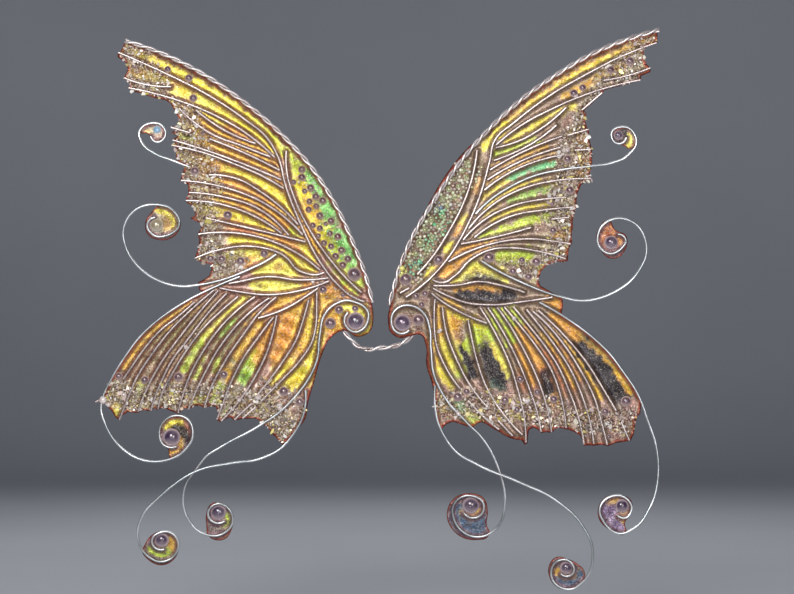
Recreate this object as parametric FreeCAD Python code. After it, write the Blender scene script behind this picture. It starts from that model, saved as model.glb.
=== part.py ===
import FreeCAD, Part
import math
import os

# A pair of ornamental fairy wings: sheets of film carried by soft silver
# wires, with spiral tendrils and half-pearls, joined by a twisted wire bridge.
# The origin is the middle of the bridge, on the axis of its twisted wires.
# +X is the side of the right wing, +Z is up, -Y is the front.
# A run is a list of (out, up) points in mm: out is measured away from the
# middle of the pair, so the same reading order serves both wings.

os.makedirs("parts", exist_ok=True)

FILM_T = 0.3            # thickness of the laminated wing film
DISC_T = 0.25           # thickness of the film in a tendril's spiral
WIRE_D = 0.6            # soft wire of the veins and tendrils
STRAND_D = 0.6          # each strand of a twisted pair
TWIST_R = 0.315         # distance of a strand's centre from the pair's centre
TWIST_PITCH = 6.8       # length of one full turn of a twisted pair
STEPS_PER_TURN = 6      # stations along one full turn of a strand
GAP = 0.01              # glue line between a wire and the film
BUTT = 0.04             # room left where one wire ends against another
NECK_IN = 2.5           # the soft necks of the bridge start this far out
NECK_OUT = 5.5          # and end this far out

TWIST_HALF = TWIST_R + STRAND_D / 2
FILM_BACK = -TWIST_HALF - GAP
FILM_FRONT = FILM_BACK - FILM_T
WIRE_Y = FILM_FRONT - GAP - WIRE_D / 2
TWIST_Y = FILM_FRONT - GAP - TWIST_HALF
DISC_FRONT = WIRE_Y + WIRE_D / 2 + GAP

# The centre line of the bridge from the left wing's back to the right wing's.
BRIDGE = [
    (-12.2, 12.5), (-11.4, 8.2), (-9.6, 4.9), (-7.4, 2.3), (-5.4, 0.4),
    (-2.9, -0.4), (0, 0), (2.6, 0.2), (5, 0.9), (7.6, 2.6), (10, 5.4),
    (11.4, 8.6), (12, 12.5)]


# ---------------------------------------------------------------- the left wing

LEFT = {
    "leading_edge": [
        (63.5, 76.6), (54.9, 73.7), (44.8, 68.7), (34.8, 62), (24.8, 53.5),
        (17.2, 45.2), (10.7, 35.1), (6.8, 26.6), (3.4, 17.6), (1.9, 11.4)],
    "rib_a": [
        (65.2, 73.7), (54.5, 69), (43.9, 63.7), (34.3, 57.5), (27.9, 52.1),
        (25.3, 47.4), (23.6, 40.7), (19.9, 31.2), (15.4, 22.2), (11, 16.3),
        (7, 12.9), (3.9, 11.6)],
    "rib_b": [
        (23.4, 49.2), (23.1, 43.1), (21.5, 37.8), (17.3, 29.1), (12.5, 22.2),
        (8.4, 17.4), (4.6, 13.9)],
    "hindwing_edge": [
        (35, 17.8), (40, 15.8), (50, 10.7), (55, 7.3), (60, 2.7), (63.8, -2.4),
        (67, -7.6), (69.2, -12.4)],
    "outer_tendril": [
        (69.6, -14.5), (68.5, -19), (64.7, -24.6), (59.4, -27.8), (53.5, -28),
        (48.9, -25.7), (46.5, -21.5), (47.7, -17.8), (52.1, -17.1),
        (54.9, -20.7), (53.3, -24.4), (50.6, -24.5)],
    "root_spiral": [
        (8, 8.8), (8.9, 6.8), (8.1, 5), (6.1, 4), (4.2, 4.8), (3.1, 6.7),
        (3, 9), (4.3, 10.6), (6.3, 11.5), (8.2, 11.9), (10.5, 11.3), (12.5, 10),
        (14, 8), (15, 3.4), (15.8, -3.2), (18.1, -8.1), (21.6, -12.6),
        (25.2, -16.1)],
    "lower_tendril": [
        (30, -19.3), (40, -24.8), (43, -26.7), (45.9, -30.2), (48.6, -34.4),
        (49.1, -38.5), (48, -42.5), (44.4, -46.3), (39.5, -46.6), (36.8, -43.3),
        (38.2, -39.8), (40.9, -39), (42.9, -41.4), (41.4, -43.6), (38.8, -43.3)],
    "inner_hem": [
        (18.6, -10.5), (18.6, -14), (19.7, -18.2), (21.6, -21.4)],
    "tail_tendril": [
        (24.9, -25.1), (30, -27.6), (37, -28.6), (45, -30.2), (55, -36.9),
        (59.1, -41.4), (60.3, -47), (58, -51.5), (54.5, -53.1), (50.8, -50.9),
        (50.5, -47.6), (54.2, -45.6), (56.8, -48), (53.8, -50)],
    "lens_top": [
        (40.2, 15.6), (36, 16.4), (28, 17.8), (20, 17), (12.4, 17.5)],
    "lens_bottom": [
        (40, 15), (36, 14.2), (28, 13.3), (20, 14.3), (12.8, 16.7)],
    "lens_lower": [
        (30.3, 7.5), (23.7, 9.8), (17.1, 13.8), (15.5, 14.9)],
    "middle_base": [
        (25.9, 23.4), (27.6, 22.2), (32.5, 19.7), (37.9, 17.5), (45, 15.8)],
    "middle_tendril": [
        (49.6, 15.4), (55, 16.7), (60, 20.1), (63.2, 24.9), (63.8, 30),
        (61.1, 34.3), (56, 35.8), (51.5, 34.3), (50, 31), (52.8, 28.2),
        (56.6, 28.4), (57.9, 31), (56, 32.6)],
    "upper_base": [(47.6, 45.2), (51.5, 46.7)],
    "upper_tendril": [
        (56, 48.4), (59.3, 51), (60, 54.2), (57.1, 56.2), (54.4, 55.5),
        (53.7, 52.8), (56, 51.5), (57.2, 52.9)],
    "forewing_veins": [
        [(63.8, 67.4), (60, 66.1), (52.1, 65.2)],
        [(62.7, 64.9), (51.6, 62.2), (42.7, 58.8), (33.1, 53.4), (26.3, 47.6)],
        [(45.9, 59.4), (38.7, 54.3), (30.7, 50.9)],
        [(50.1, 59.8), (43, 54), (33, 49.9), (26, 47.2)],
        [(42.5, 52.2), (35, 49.2), (24.9, 44.3)],
        [(51.7, 51.9), (43, 49.2), (35, 46.3), (24.2, 41.8)],
        [(52, 50.6), (45, 49), (35, 45.4), (29.7, 43.1), (23.8, 39.7)],
        [(52.2, 55.1), (47.4, 53.7)],
        [(42.7, 43.2), (35, 42), (30, 39.2), (20.2, 30.6)],
        [(49.6, 41.8), (40, 40.4), (35, 38.9), (29.7, 36.6), (19.2, 28.2)],
        [(47.6, 38.8), (39.4, 37.8), (29.7, 34.4), (22.8, 28.1)],
        [(48.4, 36.8), (37.1, 35.2), (24.5, 28.6)],
        [(43.5, 32.5), (35, 30.5), (24.5, 28), (18.6, 26.5)],
        [(45.3, 28.4), (35, 28.6), (24.5, 25.7), (15, 19.5)],
        [(46.1, 22.4), (40.9, 24.3), (32.5, 25.4), (24.5, 23.4), (19.5, 19),
         (15.2, 18.4), (12.9, 19.2)]],
    "hindwing_veins": [
        [(46.2, 11.5), (50.1, 8.1), (55.1, 4.1), (58.6, 0.1), (62.6, -5.6),
         (64.1, -7.8)],
        [(41, 14.8), (47.6, 9.1), (52.1, 4.6), (56.6, -1.1), (60.8, -7.6),
         (63.3, -13.5), (65, -17.8)],
        [(40.2, 14.5), (45.2, 8.8), (50.1, 2.6), (54.6, -3.6), (58.6, -11.1),
         (60.4, -15.9)],
        [(38.2, 13.7), (43.4, 8.1), (47.6, 2.6), (51.9, -3.1), (55.1, -9.6),
         (57.2, -15.6)],
        [(35.4, 12.9), (39, 9.8), (44.2, 4.8), (47.6, 0.4), (51.4, -5.6),
         (54.8, -12.6), (55.4, -15.2)],
        [(31.1, 12.9), (39.7, 5.3), (43.9, -0.4), (47.4, -6.8), (49.6, -13),
         (50.4, -16.2)],
        [(27.6, 12.5), (33.1, 8.3), (39.4, 1.1), (44.4, -7.6), (47.8, -15.3)],
        [(25.7, 12.9), (29.8, 9.1), (34.1, 3.4), (38.5, -3), (42.9, -11.8),
         (43.8, -14.8)],
        [(26.6, 7.7), (30.3, 2.8), (34.1, -2.6), (37.2, -8.6), (39.2, -13.8),
         (40.7, -17.8)],
        [(25.7, 8.6), (26.3, 5.6), (28.2, -1), (31.2, -7.2), (34.4, -12.2),
         (39.6, -18.2)],
        [(17.8, 12.1), (18.8, 8.3), (21.1, 1.7), (24.3, -3.4), (30.6, -11.7)],
        [(32, -13.8), (36.3, -17.9)],
        [(30.9, -14.6), (34.3, -17.5)],
        [(15.8, 14), (15.8, 10.2), (15.9, 6.6), (17, 1.5), (20, -3.2),
         (24.3, -7.8), (29.5, -13.1)],
        [(70, -12.9), (71, -13.5)]],
    "top_line": [
        (1.9, 10.4), (2.1, 12), (3.5, 17.6), (6.9, 26.6), (10.8, 35.1),
        (17.3, 45.2), (24.9, 53.4), (34.9, 61.9), (44.9, 68.6),
        (54.9, 73.6), (63.6, 76.5)],
    "upper_hem": [
        (64.8, 74), (65.5, 73.3), (65.5, 72.6), (63.5, 71.3), (63, 69.6),
        (63.9, 67.5), (63, 66.6), (62.3, 65.8), (62.9, 64.9), (62.3, 64.1),
        (59.6, 63.6), (56.4, 62.4), (53.6, 61.9), (52.3, 61), (51.1, 59),
        (50.3, 57.4), (50.1, 55.9), (52.2, 55.3), (51, 54.3), (52.2, 53.9),
        (50.7, 52.8), (51.9, 52), (51, 51.4), (52.2, 50.6), (51, 50),
        (51, 48.4), (50.9, 47.2), (50, 46.2), (48.7, 45.8), (49.2, 44),
        (49.9, 41.7), (48, 40.8), (47.8, 38.8), (48.6, 36.6), (46.7, 35.2),
        (46.1, 33.2), (47.4, 32.4), (45, 31.2), (44.7, 30), (45.5, 28.4),
        (45.1, 27), (45.3, 25.5), (46.3, 22.3), (45, 21.6), (43.5, 21.2),
        (42.3, 20.9), (42.1, 19.8), (42.5, 18.3), (43.4, 17.5), (45.4, 16.4),
        (45.1, 14.4), (43.8, 14)],
    "outer_line": [
        (43.8, 14), (50, 10.8), (55, 7.4), (60, 2.8), (63.8, -2.4), (67, -7.6),
        (69.2, -12.4)],
    "lower_hem": [
        (68.3, -14.6), (67.2, -15.4), (66.2, -17.1), (65.2, -17.9),
        (64.2, -16.8), (63, -16), (60.5, -16.2), (59, -15.5), (57.3, -15.8),
        (56.5, -15.1), (55.4, -15.4), (54.2, -14.9), (52.3, -15.7),
        (50.4, -16.4), (49.3, -15.5), (48.4, -14.9), (47.8, -15.4),
        (46.5, -14.5), (44.8, -14.4), (43.8, -15), (42.3, -14.4),
        (41, -14.7), (40.5, -15.8), (40.8, -18), (39.6, -18.5), (38.5, -17.8),
        (37.5, -17.2), (36.4, -18.1), (34.3, -17.7), (31.5, -17.6),
        (30.4, -17.9), (29.7, -18.7), (27.8, -20), (27.2, -21.2),
        (25.3, -23.1), (24.2, -24.2)],
    "inner_line": [
        (24.2, -24.2), (20.9, -20.5), (18.8, -18), (17.9, -13.5), (16.3, -8),
        (14.5, -1.8), (12.4, 2.4), (9.3, 4.3), (5, 2.8), (2.3, 4.4),
        (1.6, 7.4), (1.9, 10.4)],
    "beads_near_edge": [
        (19.5, 44.6, 0.97), (19.5, 42.6, 1.1), (21.6, 41.4, 0.83),
        (17.3, 40, 0.97), (18.8, 39.2, 0.83), (16, 37.8, 0.97), (17.6, 36.6, 0.83),
        (14.3, 36.8, 0.97), (15.9, 35.4, 0.83), (17.8, 34.6, 0.83),
        (15, 33, 0.97), (12.2, 31.7, 0.97), (13.6, 31, 0.83), (16.8, 30.6, 0.83),
        (15, 29.9, 0.83), (10.5, 27.8, 0.97), (12.5, 28.6, 0.83),
        (15.4, 28, 0.83), (14, 26.2, 0.97), (12.2, 25.4, 0.83),
        (12.8, 23.8, 0.83), (11.1, 22.9, 0.97), (9.6, 24.4, 0.97),
        (8, 22.2, 0.97), (9.3, 20.7, 0.97)],
    "hem_pearls": [
        (65.2, -7, 1.12), (58.7, -8, 1.12), (50.3, -7.2, 1.23), (42, -7.7, 1.12),
        (39, -6.6, 1.01), (27.8, -9.8, 1.12), (24, -10.8, 1.23), (20, -13.5, 1.12),
        (44.2, 53.7, 1.12), (46.2, 44.2, 1.12), (38, 33.2, 1.12), (42.3, 22.3, 1.01),
        (39.5, 22.2, 1.01), (34.8, 21.7, 1.12), (53, 69.6, 1.01),
        (47.7, 67.4, 1.01), (46.6, 62.4, 1.01)],
    "root_pearls": [
        (6.4, 18.4, 2.52), (28.9, 23.6, 2.04), (12.4, 6.2, 1.44),
        (14.2, 14.6, 1.2), (10.2, 9.6, 1.08), (6.2, 9.9, 0.84), (9.2, 13.3, 0.84)],
    "root_cabochon": (6.1, 6.7, 2.53),
    "outer_disc": [
        (54.9, -20.5), (54, -18.5), (51.6, -17.2), (47.7, -17.8),
        (46.4, -21), (48.7, -25.6), (52.3, -27.2), (52.8, -25.2),
        (54.4, -24)],
    "outer_cabochon": (51.9, -22.2, 2.31),
    "lower_disc": [
        (43.4, -41.5), (42.2, -39), (39, -38.9), (36.7, -42), (37.1, -45.6),
        (38.6, -47.8), (40.9, -48.2), (42.9, -47), (43.4, -44.4)],
    "lower_cabochon": (40.3, -41.2, 2.2),
    "tail_disc": [
        (57.4, -46.9), (54.3, -45.4), (51, -46.5), (50.1, -49.4),
        (51.3, -52.6), (54.4, -54.1), (57.6, -52.8), (59.2, -50.4),
        (58.5, -48.6)],
    "tail_cabochon": (54.3, -47.8, 2.09),
    "middle_disc": [
        (56.8, 34), (55.2, 35.5), (51.5, 34.2), (49.6, 31.2), (50.9, 28.2),
        (54.6, 26.9), (58, 28.6), (58.3, 31.8)],
    "middle_cabochon": (55.6, 30.6, 1.76),
    "upper_disc": [
        (59.8, 54), (58.2, 55.8), (55, 56), (53.7, 53.4), (54.6, 51.7),
        (56.8, 52), (57.9, 53.5)],
    "upper_cabochon": (55.7, 54.6, 0.99),
}

# --------------------------------------------------------------- the right wing

RIGHT = {
    "leading_edge": [
        (69.6, 79.3), (62.9, 77.4), (53.8, 73.8), (44.8, 68.7), (35.8, 62.4),
        (27.4, 54.8), (20.1, 46.5), (12.7, 35.6), (8.1, 27.8), (5.2, 21),
        (3.2, 14.2), (2.3, 10.8)],
    "rib_a": [
        (69, 76.2), (60.5, 72.9), (52, 68.6), (43, 63.4), (34, 56.7),
        (28.7, 51.9), (27.2, 46), (25.2, 38.8), (21, 29), (17, 22.5),
        (12, 16.9), (6.5, 12.7)],
    "rib_b": [
        (24.2, 49.4), (23.1, 42.9), (20.4, 35.2), (17, 28.8), (12.5, 22),
        (9.3, 18.4)],
    "hindwing_edge": [
        (39.8, 11.4), (46.3, 7.6), (53, 2.7), (57.2, -1.3), (60.8, -6.1),
        (63.9, -10.7), (65.2, -13.4)],
    "outer_tendril": [
        (66.5, -17.1), (68.9, -24.4), (69.4, -31), (67.5, -39.2), (63.4, -44.7),
        (59.5, -46.1), (55.8, -43.5), (54.7, -39.6), (57.6, -36.9),
        (61.1, -37.3), (62.6, -40.2), (60.5, -42.3), (59.1, -41.6)],
    "root_spiral": [
        (7.2, 4.4), (5.6, 3.6), (3.8, 4.3), (2.9, 6), (3.1, 8.4), (5, 10.3),
        (8.2, 10.5), (11, 8.6), (12.4, 5), (12.7, 0), (13.5, -6.7),
        (16.3, -12.5), (21.6, -18.5)],
    "lower_tendril": [
        (25.5, -22.4), (29.7, -30.3), (31.2, -38.4), (29.3, -44.9),
        (23.7, -47.4), (18.8, -43.9), (18.8, -38.6), (22.5, -37),
        (25.9, -39.4), (24.1, -42.5), (20.9, -41.4)],
    "inner_hem": [
        (13.7, -9.4), (13.7, -14.1), (14.5, -18.5), (15.4, -20.7)],
    "tail_tendril": [
        (19, -25.8), (24.9, -29.3), (34.6, -33.2), (43.6, -37.4),
        (49.8, -42.9), (53, -50), (51, -57.5), (46.7, -59.9), (42.9, -57),
        (44.3, -52.9), (47.8, -53.3), (48.2, -55.7), (45.1, -56)],
    "lens_top": [
        (36.1, 13.9), (29.7, 15.8), (25, 16.6), (19.2, 15.7), (13.4, 15.6)],
    "lens_bottom": [
        (43.2, 12.7), (36.4, 11.7), (28, 10.8), (21, 11.5), (17.3, 12.9),
        (13.3, 14.9)],
    "lens_lower": [
        (26.7, 6.2), (20.4, 8.8), (14.2, 12.6), (12.9, 13.7)],
    "middle_base": [
        (25.3, 21.8), (27.8, 20.2), (34.9, 16.6), (40.1, 14.4), (45, 12.8)],
    "middle_tendril": [
        (50.3, 11.8), (57.6, 13.5), (64, 18.5), (66.4, 24.9), (63.1, 31.3),
        (58.6, 32.3), (54.5, 29), (54.6, 25.5), (57.3, 23.6), (60.2, 24.9),
        (61.2, 27), (59.2, 28.4)],
    "upper_base": [
        (23.6, 33.2), (27.3, 36.8), (32.2, 40.1), (37.7, 42.7), (46.4, 44.7),
        (52.8, 45.4)],
    "upper_tendril": [
        (57.9, 46.2), (61.5, 47.8), (64, 52.1), (61.2, 55.3), (57.8, 53.3),
        (59.4, 51.1), (61.5, 52.6)],
    "forewing_veins": [
        [(67.4, 69.9), (62.5, 68.2), (55.8, 66.8)],
        [(7.3, 15), (5, 13.7)],
        [(65, 66.9), (54.3, 64.3), (44, 60.2), (35, 55.4), (29, 50.7)],
        [(55.4, 63.7), (50.4, 59.4)],
        [(46.4, 60), (40.4, 54.9), (34.9, 51.8), (28.9, 50)],
        [(44, 55.6), (39, 51.7), (33.6, 48.8), (28.4, 46.8)],
        [(45.4, 52.9), (37.7, 49.9), (32.2, 47.2), (27.2, 44.3)],
        [(45, 50.1), (40.4, 48.7), (34.9, 46.5), (26.5, 41.8)],
        [(45.6, 48.2), (39, 46.6), (33.6, 44.4), (25.6, 39.1)],
        [(52, 54.6), (46.8, 53.1)],
        [(52.6, 49.6), (48.6, 49.4)],
        [(52.6, 42.3), (44.6, 41.9), (37.7, 40.5), (29.5, 36.7), (22, 29.7)],
        [(46.4, 37.6), (40.4, 37.1), (33.6, 35.7), (25.4, 31.5), (20.8, 27)],
        [(48.5, 35.2), (40.4, 34.4), (33.6, 33.2), (23.6, 27.6)],
        [(47.2, 32.6), (42.8, 32.2)],
        [(37.7, 30.1), (30.8, 28.2), (20.2, 26)],
        [(47.6, 26), (43, 26.7), (39, 27.2), (32.2, 26.9), (25.4, 25.3),
         (17, 21.5)],
        [(46.3, 22.3), (38.3, 24.4), (33.3, 25), (27.8, 24.6), (22.6, 22),
         (18.9, 18.2), (15.8, 16.4), (13, 17.1)]],
    "hindwing_veins": [
        [(39.5, 9.4), (43.6, 5.6), (48, 0.9), (52.2, -4.5), (55.3, -9.5),
         (58.9, -15.6)],
        [(60.2, -18.5), (62.2, -23)],
        [(38.1, 9.2), (41.6, 6), (45.8, 1), (49.7, -5), (53.5, -12.4),
         (55.4, -19), (56.7, -24.1)],
        [(36.6, 9.6), (39.5, 6), (43.9, 0.3), (47.6, -5.5), (50.6, -12.4),
         (52.4, -18.5), (53.4, -23.9)],
        [(33.3, 10.3), (37.4, 5.3), (41.4, 0.2), (44.7, -5), (47, -10.2),
         (49.1, -15.8), (50.9, -24)],
        [(31, 10.3), (34.6, 6), (38.8, 0.7), (42.5, -5), (45.2, -12.4),
         (46.4, -19.9)],
        [(29.2, 10.2), (32.3, 5.8), (35.5, 0.3), (38.4, -5.5), (41, -12.4),
         (42.8, -21)],
        [(26.9, 10.1), (30.9, 3.7), (34, -2.3), (37.2, -10), (39.4, -16.7),
         (40.2, -20.9)],
        [(25, 10.1), (29.2, 2.9), (32.4, -4), (34.4, -10.4), (36, -17.4),
         (36.4, -23.5)],
        [(22, 6.9), (22.9, 2.3), (24.1, -2.8), (26.8, -10.2), (30.3, -15.8),
         (35.5, -21.6)],
        [(29.4, -18), (33.1, -21.9)],
        [(15.6, 10.1), (16.4, 4.5), (19.1, -2.8), (22.9, -9.9),
         (26.9, -14.8)],
        [(22, -13.1), (25.1, -16.4), (29.7, -20.3)],
        [(13.7, 12.4), (13.5, 6.8), (14.2, 0.4), (16.5, -5), (19.9, -10)]],
    "top_line": [
        (2.3, 9.8), (3.2, 14.2), (5.2, 21), (7.9, 27.9), (12.1, 36),
        (15.3, 41.6), (19.7, 47.6), (27.2, 55), (35.8, 62.4), (44.8, 68.7),
        (53.8, 73.7), (62.9, 77.3), (69.3, 79)],
    "upper_hem": [
        (69.2, 76.1), (67, 75.5), (65.9, 74.6), (65.9, 73), (66.5, 70.9),
        (67.6, 69.9), (67.5, 68.9), (65.2, 67.9), (65.1, 66.7), (62.5, 66),
        (60, 65.4), (57.5, 64.8), (55.9, 64.3), (55.6, 63.4), (54, 62),
        (52.5, 60.6), (51, 59.3), (51.5, 58.6), (51.3, 57), (51.6, 55.2),
        (52.2, 54.5), (52.2, 52.5), (52.6, 51), (52.9, 49.6), (53, 48),
        (52.9, 45.3), (52.4, 43.6), (52.8, 41.9), (51.5, 41.4), (50.3, 40.8),
        (49.3, 38.6), (49.1, 36.8), (49.2, 35.4), (48.4, 33), (48.1, 31.5),
        (48.3, 30.2), (47.9, 29), (47.9, 26), (47.2, 25), (46.9, 21.8),
        (46, 21.4), (44.4, 21.6), (43, 21.3), (41.2, 20.2), (40.3, 19.2),
        (39.6, 17.2), (40, 15.6), (43, 13.9), (44.8, 13.2), (45.6, 12),
        (45.7, 10.5), (45.3, 8.3)],
    "outer_line": [
        (45.3, 8.3), (53, 2.8), (57.2, -1.3), (60.8, -6.1), (63.9, -10.7),
        (65.2, -13.4)],
    "lower_hem": [
        (65, -16.4), (64.2, -17), (63.8, -19), (63.4, -21.5), (62.6, -23.1),
        (61, -23.4), (59, -23.7), (57.5, -24.3), (56.7, -24.5),
        (55.5, -24.1), (53.4, -24.4), (52, -24.3), (50.9, -24.4),
        (50.5, -23.3), (50, -21.9), (48.5, -21), (47, -20.4), (46.3, -20.3),
        (45, -20), (43.8, -20.1), (43.3, -20.8), (42.7, -21.2), (41.5, -21),
        (40.2, -21.2), (39.3, -20.3), (38.3, -19.9), (37.2, -20.5),
        (37, -21.8), (36.8, -23.8), (36.1, -24.1), (35.3, -23),
        (34, -22.9), (32.5, -22.5), (31, -21.8), (29.8, -21), (28, -20),
        (26.5, -19), (25.3, -18.5), (24.2, -18.9), (23.4, -19.7),
        (21.8, -19.6), (19.8, -18.9), (18.3, -18.4), (16.8, -18.9),
        (15.9, -19.6), (15.2, -20.7)],
    "inner_line": [
        (15.2, -20.7), (14, -17.5), (13.5, -12), (12.9, -8.7), (11.6, -4.5),
        (11.4, 0.6), (10.2, 3.2), (7.6, 3), (5, 2.5), (2.6, 4), (2, 6.6),
        (2.3, 9.8)],
    "beads_near_edge": [
        (22, 46.2, 0.66), (20.6, 44.4, 0.77), (21.6, 42.6, 0.66),
        (18.4, 42.2, 0.77), (19.6, 40.4, 0.66), (17.2, 39.6, 0.77),
        (18.4, 37.8, 0.66), (15.6, 37.2, 0.77), (16.8, 35.4, 0.66),
        (14.2, 34.6, 0.77), (15.6, 33, 0.66), (12.8, 32, 0.77), (14.4, 30.4, 0.77),
        (11.2, 29.4, 0.77), (13, 27.6, 0.77), (10, 26.2, 1.1), (12, 25, 0.77),
        (9, 23.6, 0.77), (10.6, 22.4, 0.66), (7.6, 21.6, 0.77), (9, 20.2, 0.77)],
    "hem_pearls": [
        (39.3, -11, 1.23), (35, -7.8, 1.01), (34.2, -15.4, 0.9), (19.4, -12.2, 1.23),
        (21.6, -10.8, 0.9), (57.2, -22.2, 1.01), (56.2, -15.9, 1.01),
        (61.4, -13.3, 1.34), (43.4, -12.8, 1.01), (31.2, -13, 1.01),
        (37.1, 17.8, 0.9), (33.2, 19.2, 0.9), (35.4, 22, 0.78), (39, 21.6, 1.12),
        (43.2, 29.4, 0.9), (47.4, 39.4, 1.12), (43, 36, 0.67), (46.8, 47.2, 1.01),
        (48.4, 63.6, 1.12), (50.6, 65, 0.9), (57.6, 69.4, 1.01), (62.4, 71.6, 1.12)],
    "root_pearls": [
        (6.4, 17.2, 2.4), (27.2, 22.6, 2.04), (9.6, 7, 1.56), (14.6, 22, 1.32),
        (9, 12.9, 0.96), (11.2, 13.6, 0.84), (10.4, 10.8, 0.84)],
    "root_cabochon": (5.6, 6.3, 2.64),
    "outer_disc": [
        (59.4, -36.5), (62.7, -38.2), (62.5, -41.2), (61, -43.6),
        (61.2, -45.9), (57.4, -45.4), (54.2, -41.6), (55.2, -37.9)],
    "outer_cabochon": (60.3, -39.3, 1.93),
    "lower_disc": [
        (26.9, -41), (26, -37.8), (22.3, -36.4), (18, -38.2), (16.6, -42.2),
        (18.6, -46.4), (23.2, -48.3), (27.2, -46.9), (26.6, -44)],
    "lower_cabochon": (22.6, -39.6, 2.09),
    "tail_disc": [
        (43.2, -52.4), (47.6, -52.6), (51.1, -56.6), (48.8, -59.4),
        (45.4, -60), (42.5, -57.6), (42.2, -54)],
    "tail_cabochon": (46.4, -54.6, 1.76),
    "middle_disc": [
        (54.2, 29.3), (57.2, 31.7), (58.5, 29.7), (61.4, 27.9),
        (61.2, 24.6), (58.4, 22.3), (54.8, 24.6)],
    "middle_cabochon": (57.6, 26.3, 1.76),
    "upper_disc": [
        (57.6, 52.8), (59.4, 55), (62.4, 54.9), (64, 52.1), (62.8, 49.9),
        (60.4, 50.8), (58.4, 51.2)],
    "upper_cabochon": (59.6, 53.3, 1.21),
}


# -------------------------------------------------------------------- geometry

def vec(x, y, z):
    return FreeCAD.Vector(x, y, z)


def place(run, side, y):
    """Turns (out, up) points into points of the wing on the given side."""
    return [vec(side * out, y, up) for out, up in run]


def directions(points, closed=False):
    """Unit tangent at every point, weighted towards the nearer neighbour."""
    count = len(points)
    chords = []
    for i in range(count if closed else count - 1):
        step = points[(i + 1) % count] - points[i]
        chords.append((step * (1.0 / step.Length), step.Length))
    result = []
    for i in range(count):
        if not closed and i == 0:
            before = after = chords[0]
        elif not closed and i == count - 1:
            before = after = chords[-1]
        else:
            before = chords[i - 1]
            after = chords[i]
        mix = before[0] * after[1] + after[0] * before[1]
        result.append(mix * (1.0 / mix.Length))
    if not closed and count > 2:
        result[0] = mirrored_end(chords[0][0], result[1])
        result[-1] = mirrored_end(chords[-1][0], result[-2])
    return result


def mirrored_end(chord, inner):
    """Direction that makes the end span a single arc."""
    end = chord * (2.0 * chord.dot(inner)) - inner
    return end * (1.0 / end.Length)


def arc_or_line(start, tangent, end):
    """The arc that leaves start along tangent and reaches end."""
    chord = end - start
    cosine = min(1.0, chord.dot(tangent) / chord.Length)
    half = math.acos(cosine)
    if half < 0.002:
        return Part.LineSegment(start, end).toShape()
    reach = chord.Length / (2 * cosine)
    corner = start + tangent * reach
    middle = (start + end) * 0.5
    bulge = (corner - middle) * (1.0 / (corner - middle).Length)
    crown = middle + bulge * (chord.Length / 2 * math.tan(half / 2))
    return Part.Arc(start, crown, end).toShape()


def two_arcs(p0, t0, p1, t1):
    """Two arcs that join two points along their tangents."""
    span = p1 - p0
    both = t0 + t1
    a = 4 - both.dot(both)
    b = span.dot(both)
    c = span.dot(span)
    if a < 1e-6:
        reach = c / (2 * b)
    else:
        reach = (math.sqrt(b * b + a * c) - b) / a
    joint = (p0 + t0 * reach + p1 - t1 * reach) * 0.5
    out = (p1 - t1 * reach) - (p0 + t0 * reach)
    out = out * (1.0 / out.Length)
    return [arc_or_line(p0, t0, joint), arc_or_line(joint, out, p1)]


def chain(points, tangents):
    """A smooth chain of arcs through the points."""
    edges = []
    for i in range(len(points) - 1):
        edges += two_arcs(points[i], tangents[i], points[i + 1], tangents[i + 1])
    return edges


def samples(edges, spacing=0.25):
    """Points spread evenly along a chain."""
    result = []
    for edge in edges:
        count = max(2, int(edge.Length / spacing) + 1)
        result += edge.discretize(Number=count)
    return result


def tube(edges, diameter):
    """A round wire along a chain of edges."""
    first = edges[0]
    start = first.valueAt(first.FirstParameter)
    heading = first.tangentAt(first.FirstParameter)
    ring = Part.Wire(Part.makeCircle(diameter / 2, start, heading))
    body = Part.Wire(edges).makePipe(Part.Face(ring))
    return body


def footprint(edges, half):
    """What a wire covers on the film: points with its half width."""
    return [(p.x, p.z, half) for p in samples(edges)]


def clearance(x, z, taken):
    """Distance from a place on the film to the nearest thing glued there."""
    return min(math.hypot(x - tx, z - tz) - half for tx, tz, half in taken)


def nearby(x, z, taken, reach):
    return [t for t in taken if abs(t[0] - x) < reach and abs(t[1] - z) < reach]


def butted(run, side, taken):
    """The run with each end drawn back until it clears the wires it meets."""
    run = list(run)
    for end, step in ((0, 1), (-1, -1)):
        while len(run) > 2 and not drawn_back(run, end, step, side, taken):
            run.pop(end)
        if len(run) == 2:
            drawn_back(run, end, step, side, taken)
    return run


def drawn_back(run, end, step, side, taken):
    """Moves an end point to the first clear place on the span beside it."""
    here = run[end]
    following = run[end + step]
    length = math.hypot(following[0] - here[0], following[1] - here[1])
    near = nearby(side * here[0], here[1], taken, length + 2)
    for k in range(int(length / 0.1)):
        share = k * 0.1 / length
        out = here[0] + (following[0] - here[0]) * share
        up = here[1] + (following[1] - here[1]) * share
        if not near or clearance(side * out, up, near) >= WIRE_D / 2 + BUTT:
            run[end] = (out, up)
            return True
    return False


def dome(x, y, z, radius, height):
    """A half-pearl: a rounded cap that stands on its flat base towards -Y."""
    ball_r = (radius * radius + height * height) / (2 * height)
    centre = vec(x, y - height + ball_r, z)
    ball = Part.makeSphere(ball_r, centre, vec(0, -1, 0))
    keep = Part.makeBox(4 * radius, height, 4 * radius,
                        vec(x - 2 * radius, y - height, z - 2 * radius))
    return ball.common(keep)


def plate(edges, front, thickness):
    """A flat sheet from a closed outline, from front towards +Y."""
    outline = Part.Wire(Part.__sortEdges__(edges))
    outline.translate(vec(0, front - outline.Vertexes[0].Point.y, 0))
    return Part.Face(outline).extrude(vec(0, thickness, 0))


def closed_loop(run, side, y):
    """A smooth closed outline through the points."""
    points = place(run, side, y)
    tangents = directions(points, closed=True)
    return chain(points + [points[0]], tangents + [tangents[0]])


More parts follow.
